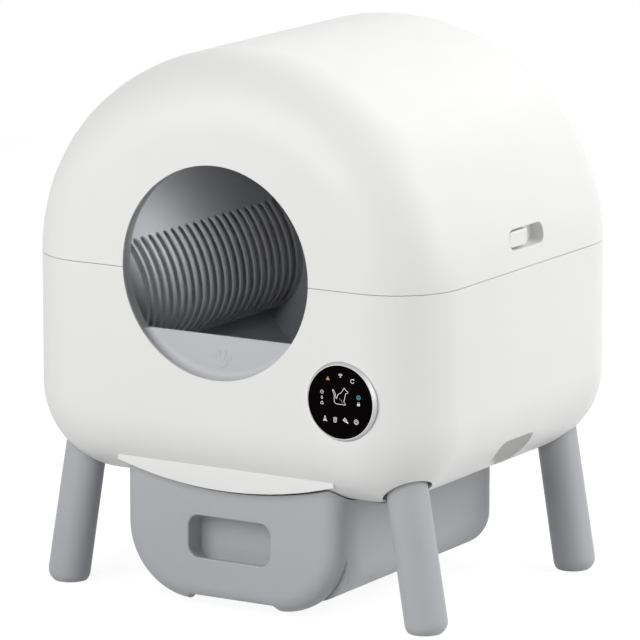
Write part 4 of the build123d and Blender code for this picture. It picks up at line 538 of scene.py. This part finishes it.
class SignPen:
    """Draws one flat sign on the plane of the glass, in millimetres from the sign's centre."""

    CORNER_STEPS = 3
    CIRCLE_STEPS = 32
    ARC_STEP_DEGREES = 12
    ARC_LEAST_STEPS = 6

    def __init__(self) -> None:
        """Start an empty drawing."""
        self.mesh = bmesh.new()

    @staticmethod
    def spot(point: Point) -> Vector:
        """A drawn point on the upright plane."""
        return Vector((point[0] * MM, 0.0, point[1] * MM))

    def plate(self, points: Iterable[Point], corner: float = 0.0) -> bmesh.types.BMFace:
        """A filled shape with rounded corners.

        Args:
            points: Its corners in order.
            corner: How far each corner is rounded.

        Returns:
            The new face.
        """
        corners = [self.mesh.verts.new(self.spot(point)) for point in points]
        face = self.mesh.faces.new(corners)
        face.normal_update()
        if corner > 0.0:
            rounded = bmesh.ops.bevel(self.mesh, geom=corners, offset=corner * MM, affect="VERTICES",
                                      segments=self.CORNER_STEPS, profile=0.5, material=-1)
            linked = {near for vertex in rounded["verts"] for near in vertex.link_faces}
            face = max(linked, key=lambda near: near.calc_area())
        return face

    def hollow(self, face: bmesh.types.BMFace, width: float) -> None:
        """Leave only a border of a filled shape.

        Args:
            face: The filled shape.
            width: Width of the border.
        """
        bmesh.ops.inset_region(self.mesh, faces=[face], thickness=width * MM, use_boundary=True,
                               use_even_offset=True)
        bmesh.ops.delete(self.mesh, geom=[face], context="FACES_ONLY")

    def outline(self, points: Iterable[Point], width: float, corner: float = 0.0) -> None:
        """The border of a shape."""
        self.hollow(self.plate(points, corner), width)

    def disc(self, radius: float, at: Point = (0.0, 0.0)) -> bmesh.types.BMFace:
        """A filled circle.

        Args:
            radius: Its radius.
            at: Its centre.

        Returns:
            The new face.
        """
        turns = [2 * math.pi * k / self.CIRCLE_STEPS for k in range(self.CIRCLE_STEPS)]
        return self.plate([(at[0] + radius * math.cos(t), at[1] + radius * math.sin(t)) for t in turns])

    def ring(self, radius: float, width: float, at: Point = (0.0, 0.0)) -> None:
        """A circle's border, inside its radius."""
        self.hollow(self.disc(radius, at), width)

    def arc(self, radius: float, width: float, start: float, sweep: float, at: Point = (0.0, 0.0)) -> None:
        """Part of a ring.

        Args:
            radius: Radius of its middle.
            width: Its width.
            start: Angle of its first end, in degrees from the right.
            sweep: Angle that it covers, anticlockwise.
            at: Its centre.
        """
        way = (math.cos(math.radians(start)), math.sin(math.radians(start)))
        ends = [
            self.mesh.verts.new(self.spot((at[0] + r * way[0], at[1] + r * way[1])))
            for r in (radius - width / 2, radius + width / 2)
        ]
        edge = self.mesh.edges.new(ends)
        steps = max(self.ARC_LEAST_STEPS, int(sweep / self.ARC_STEP_DEGREES))
        bmesh.ops.spin(self.mesh, geom=[*ends, edge], cent=self.spot(at), axis=(0.0, -1.0, 0.0),
                       angle=math.radians(sweep), steps=steps, use_merge=False)

    def bar(self, start: Point, end: Point, width: float) -> None:
        """A straight stroke between two points.

        Args:
            start: Middle of one end.
            end: Middle of the other end.
            width: Its width.
        """
        run = Vector(end) - Vector(start)
        side = Vector((-run.y, run.x)).normalized() * width / 2
        a, b = Vector(start), Vector(end)
        self.plate([tuple(a + side), tuple(a - side), tuple(b - side), tuple(b + side)])

    def finish(self, name: str, centre: Vector, relief: float) -> bpy.types.Object:
        """Thicken the drawing and set it on the glass.

        Args:
            name: Name of the piece.
            centre: Where the drawing's centre goes, on the glass and in metres.
            relief: Thickness of the print, in metres.

        Returns:
            The finished piece.
        """
        bmesh.ops.recalc_face_normals(self.mesh, faces=self.mesh.faces[:])
        bmesh.ops.solidify(self.mesh, geom=self.mesh.faces[:], thickness=relief)
        bmesh.ops.recalc_face_normals(self.mesh, faces=self.mesh.faces[:])
        front = min(v.co.y for v in self.mesh.verts)
        shift = Vector((centre.x, centre.y - relief - front, centre.z))
        bmesh.ops.translate(self.mesh, verts=self.mesh.verts[:], vec=shift)
        data = bpy.data.meshes.new(name)
        self.mesh.to_mesh(data)
        self.mesh.free()
        piece = bpy.data.objects.new(name, data)
        bpy.context.scene.collection.objects.link(piece)
        return piece


@dataclass
class DisplayPanel(SubAssembly):
    """Round display with its lit signs, whose places and strokes are in millimetres."""

    stroke: float = 0.5
    medium: float = 0.45
    thin: float = 0.4
    fine: float = 0.35
    relief: float = 0.12 * MM

    def build(self, palette: Palette) -> None:
        """Draw every sign on the glass.

        Args:
            palette: Materials to take from.
        """
        low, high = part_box("display_glass")
        centre = Vector(((low.x + high.x) / 2, low.y, (low.z + high.z) / 2))
        signs = {
            "sign_warning": (self.warning, (-14.9, 23.7), Glow.AMBER),
            "sign_wireless": (self.wireless, (0.0, 28.0), Glow.WHITE),
            "sign_repeat": (self.repeat, (14.4, 23.5), Glow.WHITE),
            "sign_timer": (self.timer, (-22.0, 8.8), Glow.WHITE),
            "sign_drop": (self.drop, (-22.0, 3.2), Glow.WHITE),
            "sign_home": (self.home, (-22.0, -2.6), Glow.WHITE),
            "sign_cat": (self.cat, (0.1, 6.4), Glow.WHITE),
            "sign_fan": (self.fan, (21.7, 7.2), Glow.CYAN),
            "sign_lock": (self.lock, (21.7, 0.4), Glow.WHITE),
            "sign_flask": (self.flask, (-18.2, -19.0), Glow.WHITE),
            "sign_bin": (self.bin, (-6.2, -18.9), Glow.WHITE),
            "sign_scoop": (self.scoop, (6.6, -18.9), Glow.WHITE),
            "sign_power": (self.power, (19.1, -18.7), Glow.WHITE),
        }
        for name, (draw, place, glow) in signs.items():
            pen = SignPen()
            draw(pen)
            piece = pen.finish(name, centre + SignPen.spot(place), self.relief)
            piece.data.materials.append(palette.of(LitSign(f"lit_{glow.name.lower()}", glow)))
            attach(piece, "base")
            LOG.info("%s: %s lit in %s", self.title, name, glow.name.lower())

    def warning(self, pen: SignPen) -> None:
        """A filled warning triangle."""
        pen.plate([(-2.2, -1.8), (2.2, -1.8), (0.0, 2.1)], 0.25)

    def wireless(self, pen: SignPen) -> None:
        """Three arcs over a dot.

        Args:
            pen: The drawing to add to.
        """
        for radius in (1.3, 2.3, 3.3):
            pen.arc(radius, self.stroke, 45, 90, (0.0, -1.6))
        pen.disc(0.5, (0.0, -1.6))

    def repeat(self, pen: SignPen) -> None:
        """An open ring that ends in an arrow."""
        pen.arc(2.0, self.stroke, 60, 280)
        pen.plate([(1.0, 2.75), (1.0, 0.75), (2.5, 1.75)])

    def timer(self, pen: SignPen) -> None:
        """A clock face.

        Args:
            pen: The drawing to add to.
        """
        pen.ring(1.9, self.fine)
        pen.bar((0.0, 1.1), (0.0, -0.1), 0.3)
        pen.bar((0.2, -0.1), (0.9, -0.1), 0.3)

    def drop(self, pen: SignPen) -> None:
        """A drop of liquid, as a tip over a round belly.

        Args:
            pen: The drawing to add to.
        """
        tip = (0.0, 1.9)
        radius, rise, steps = 1.25, -0.6, 12
        turns = [math.radians(20 - 220 * k / steps) for k in range(steps + 1)]
        belly = [(radius * math.cos(t), radius * math.sin(t) + rise) for t in turns]
        pen.outline([tip, *belly], self.thin)

    def home(self, pen: SignPen) -> None:
        """A small hut."""
        pen.outline([(-1.6, -1.6), (1.6, -1.6), (1.6, 0.4), (0.0, 1.9), (-1.6, 0.4)], self.medium, 0.2)

    def cat(self, pen: SignPen) -> None:
        """A seated cat in one line, with its tail raised.

        Args:
            pen: The drawing to add to.
        """
        pen.outline([
            (4.6, 9.5), (6.4, 7.3), (9.3, 5.4), (8.6, 3.9), (6.5, 3.0), (5.4, -1.8), (4.4, -5.2),
            (6.4, -8.0), (6.0, -8.8), (-4.4, -8.8), (-6.8, -7.8), (-7.6, -5.8), (-7.5, 0.4), (-9.7, 5.5),
            (-8.5, 6.6), (-5.9, 2.2), (-4.9, -2.8), (-3.2, 1.5), (0.8, 4.1), (2.8, 7.0),
        ], self.stroke, 0.3)
        pen.arc(3.0, self.stroke, 20, 70, (-1.6, -5.8))
        pen.bar((1.6, -5.0), (2.6, -7.9), self.stroke)

    def fan(self, pen: SignPen) -> None:
        """A fan with four blades.

        Args:
            pen: The drawing to add to.
        """
        pen.ring(2.3, self.thin)
        for turn in (45, 135, 225, 315):
            way = (math.cos(math.radians(turn)), math.sin(math.radians(turn)))
            pen.bar((0.35 * way[0], 0.35 * way[1]), (1.5 * way[0], 1.5 * way[1]), self.thin)

    def lock(self, pen: SignPen) -> None:
        """A padlock."""
        pen.outline([(-1.6, -1.9), (1.6, -1.9), (1.6, 0.3), (-1.6, 0.3)], 0.75, 0.3)
        pen.arc(1.05, 0.42, 0, 180, (0.0, 0.6))

    def flask(self, pen: SignPen) -> None:
        """A flask with liquid in it.

        Args:
            pen: The drawing to add to.
        """
        pen.outline([(-0.75, 2.9), (0.75, 2.9), (0.75, 0.8), (2.5, -2.5), (-2.5, -2.5), (-0.75, 0.8)],
                    self.medium, 0.2)
        pen.plate([(-1.55, -1.8), (1.55, -1.8), (0.75, -0.2), (-0.75, -0.2)])

    def bin(self, pen: SignPen) -> None:
        """A waste bin with a lid.

        Args:
            pen: The drawing to add to.
        """
        pen.outline([(-1.9, 1.3), (1.9, 1.3), (1.5, -2.8), (-1.5, -2.8)], self.stroke, 0.3)
        pen.bar((-2.4, 1.95), (2.4, 1.95), 0.55)
        pen.bar((-0.7, 2.6), (0.7, 2.6), self.thin)
        for x in (-0.5, 0.5):
            pen.bar((x, 0.4), (x, -1.9), self.fine)

    def scoop(self, pen: SignPen) -> None:
        """A slotted scoop, tilted.

        Args:
            pen: The drawing to add to.
        """
        turn = math.radians(-38)

        def tilted(x: float, z: float) -> Point:
            """A point of the scoop after its turn."""
            return (x * math.cos(turn) - z * math.sin(turn), x * math.sin(turn) + z * math.cos(turn))

        pen.outline([tilted(-3.2, -1.9), tilted(0.9, -1.4), tilted(0.9, 1.4), tilted(-3.2, 1.9)],
                    self.stroke, 0.3)
        pen.bar(tilted(0.9, 0.0), tilted(3.6, 0.0), 1.1)
        for x in (-2.0, -1.2, -0.4):
            pen.bar(tilted(x, -0.9), tilted(x, 0.9), self.thin)

    def power(self, pen: SignPen) -> None:
        """A power mark in a ring.

        Args:
            pen: The drawing to add to.
        """
        pen.ring(2.7, self.medium)
        pen.arc(1.3, self.medium, 125, 290)
        pen.bar((0.0, 1.7), (0.0, 0.3), self.medium)


ASSEMBLIES: tuple[SubAssembly, ...] = (
    SubAssembly("shells", ("lower_housing", "upper_cover")),
    SubAssembly("latches", ("latch_thumb_left", "latch_hook_left", "latch_thumb_right",
                            "latch_hook_right")),
    SubAssembly("legs", ("leg_front_left", "leg_front_right", "leg_rear_left", "leg_rear_right",
                         "foot_pads", "leg_sockets", "leg_studs", "load_cells", "leg_nuts")),
    SubAssembly("drum", ("drum_front", "drum_shell", "drum_back", "sieve", "ring_gear", "ring_screws",
                         "hub_shaft", "hub_clip", "drum_magnets")),
    SubAssembly("drive", ("drive_pinion", "drive_shaft", "gearbox", "gearbox_screws", "motor_can",
                          "rear_bulkhead", "bulkhead_screws", "hub_bearing", "roller_left",
                          "roller_right", "roller_yoke_left", "roller_yoke_right", "roller_axles",
                          "yoke_screws")),
    SubAssembly("waste", ("drawer_front", "drawer_bin", "drawer_screws", "bag_frame",
                          "drawer_rail_left", "drawer_rail_right", "rail_screws", "chute_frame",
                          "chute_seal", "chute_screws")),
    SubAssembly("electronics", ("control_board", "board_parts", "board_screws", "position_sensor",
                                "power_inlet", "harness", "harness_clips")),
    DisplayPanel("display", ("display_ring", "display_glass", "display_board")),
)


def direction(azimuth: float, elevation: float) -> Vector:
    """Unit vector from the object towards a viewer.

    Args:
        azimuth: Degrees round the object from -Y towards +X.
        elevation: Degrees above the horizon.

    Returns:
        The vector.
    """
    a, e = math.radians(azimuth), math.radians(elevation)
    return Vector((math.sin(a) * math.cos(e), -math.cos(a) * math.cos(e), math.sin(e)))


@dataclass(frozen=True)
class Softbox:
    """A square area lamp that faces the object, or a point of its own."""

    name: str
    azimuth: float
    elevation: float
    power: float
    distance: float = 3.0
    size: float = 2.4
    spread: float = 180.0
    aim: tuple[float, float, float] | None = None

    def build(self, middle: Vector) -> None:
        """Hang the lamp and turn it to its aim.

        Args:
            middle: The object's middle, for a lamp without a point of its own.
        """
        data = bpy.data.lights.new(self.name, "AREA")
        data.shape = "SQUARE"
        data.size = self.size
        data.energy = self.power
        data.spread = math.radians(self.spread)
        lamp = bpy.data.objects.new(self.name, data)
        back = direction(self.azimuth, self.elevation)
        lamp.location = (Vector(self.aim) if self.aim else middle) + back * self.distance
        lamp.rotation_euler = back.to_track_quat("Z", "Y").to_euler()
        lamp.visible_camera = False
        bpy.context.scene.collection.objects.link(lamp)


@dataclass
class Studio:
    """Pale floor, white surroundings, soft lamps and the camera."""

    floor_size: float = 4.4
    floor_colour: Colour = (0.65, 0.65, 0.65)
    shadow_share: float = 0.16
    ambient: float = 0.13
    lamps: tuple[Softbox, ...] = (
        Softbox("lamp_front", azimuth=-12.0, elevation=26.0, power=66.0),
        Softbox("lamp_side", azimuth=108.0, elevation=23.0, power=58.0),
        Softbox("lamp_rear", azimuth=150.0, elevation=50.0, power=28.0),
        Softbox("lamp_back", azimuth=-165.0, elevation=42.0, power=14.0),
        Softbox("lamp_entry", azimuth=52.0, elevation=10.0, power=0.088, distance=0.165, size=0.07,
                spread=96.0, aim=(-0.153, -0.085, 0.394)),
    )
    azimuth: float = 31.078
    elevation: float = 11.452
    distance: float = 5.862751
    target: tuple[float, float, float] = (-0.007569, 0.00175, 0.278539)
    focal_pixels: float = 5450.197
    frame_pixels: float = 640.0
    sensor: float = 36.0

    def build(self) -> None:
        """Set up the whole studio."""
        self.floor()
        self.surroundings()
        low, high = CAD_BOX
        for lamp in self.lamps:
            lamp.build((low + high) / 2)
        self.camera()
        bpy.context.scene.view_settings.view_transform = "Standard"

    @staticmethod
    def seen_directly(tree: bpy.types.NodeTree) -> bpy.types.NodeSocket:
        """One for rays that the camera, a gloss or a glass sends, else zero.

        Args:
            tree: The node tree to add to.

        Returns:
            The value socket.
        """
        path = tree.nodes.new("ShaderNodeLightPath")
        value = path.outputs["Is Camera Ray"]
        for name in ("Is Glossy Ray", "Is Transmission Ray"):
            larger = tree.nodes.new("ShaderNodeMath")
            larger.operation = "MAXIMUM"
            tree.links.new(value, larger.inputs[0])
            tree.links.new(path.outputs[name], larger.inputs[1])
            value = larger.outputs[0]
        return value

    def floor(self) -> None:
        """Lay a pale floor that looks white and keeps the object's shadow."""
        mesh = bmesh.new()
        bmesh.ops.create_grid(mesh, x_segments=1, y_segments=1, size=self.floor_size / 2)
        data = bpy.data.meshes.new("floor")
        mesh.to_mesh(data)
        mesh.free()
        data.materials.append(self.floor_material())
        floor = bpy.data.objects.new("floor", data)
        bpy.context.scene.collection.objects.link(floor)

    def floor_material(self) -> bpy.types.Material:
        """A pale diffuse floor for the light, and a glowing one with a faint shadow for the eye.

        Returns:
            The new material.
        """
        material = bpy.data.materials.new("pale_floor")
        material.use_nodes = True
        tree = material.node_tree
        tree.nodes.clear()
        bounce = tree.nodes.new("ShaderNodeBsdfDiffuse")
        bounce.inputs["Color"].default_value = (*self.floor_colour, 1.0)
        shadow = tree.nodes.new("ShaderNodeBsdfDiffuse")
        shadow.inputs["Color"].default_value = (*(self.shadow_share,) * 3, 1.0)
        glow = tree.nodes.new("ShaderNodeEmission")
        glow.inputs["Strength"].default_value = 1.0 - self.shadow_share / 2
        both = tree.nodes.new("ShaderNodeAddShader")
        tree.links.new(shadow.outputs[0], both.inputs[0])
        tree.links.new(glow.outputs[0], both.inputs[1])
        mix = tree.nodes.new("ShaderNodeMixShader")
        tree.links.new(self.seen_directly(tree), mix.inputs["Fac"])
        tree.links.new(bounce.outputs[0], mix.inputs[1])
        tree.links.new(both.outputs[0], mix.inputs[2])
        output = tree.nodes.new("ShaderNodeOutputMaterial")
        tree.links.new(mix.outputs[0], output.inputs["Surface"])
        return material

    def surroundings(self) -> None:
        """White around the object for the eye, and an even light on it."""
        world = bpy.data.worlds.new("studio")
        bpy.context.scene.world = world
        world.use_nodes = True
        tree = world.node_tree
        tree.nodes.clear()
        soft = tree.nodes.new("ShaderNodeBackground")
        soft.inputs["Strength"].default_value = self.ambient
        white = tree.nodes.new("ShaderNodeBackground")
        white.inputs["Strength"].default_value = 1.0
        for shader in (soft, white):
            shader.inputs["Color"].default_value = (1.0, 1.0, 1.0, 1.0)
        mix = tree.nodes.new("ShaderNodeMixShader")
        tree.links.new(self.seen_directly(tree), mix.inputs["Fac"])
        tree.links.new(soft.outputs[0], mix.inputs[1])
        tree.links.new(white.outputs[0], mix.inputs[2])
        output = tree.nodes.new("ShaderNodeOutputWorld")
        tree.links.new(mix.outputs[0], output.inputs["Surface"])

    def camera(self) -> None:
        """Place the camera where the photograph was taken from."""
        data = bpy.data.cameras.new("camera")
        data.sensor_width = self.sensor
        data.lens = self.sensor * self.focal_pixels / self.frame_pixels
        camera = bpy.data.objects.new("camera", data)
        back = direction(self.azimuth, self.elevation)
        camera.location = Vector(self.target) + back * self.distance
        camera.rotation_euler = (-back).to_track_quat("-Z", "Y").to_euler()
        bpy.context.scene.collection.objects.link(camera)
        bpy.context.scene.camera = camera


def main() -> None:
    """Dress every sub-assembly, build its extra pieces and set up the studio."""
    logging.basicConfig(level=logging.INFO, format="%(message)s")
    palette = Palette()
    for assembly in ASSEMBLIES:
        assembly.dress(palette)
        assembly.build(palette)
    Studio().build()


if __name__ == "__main__":
    main()
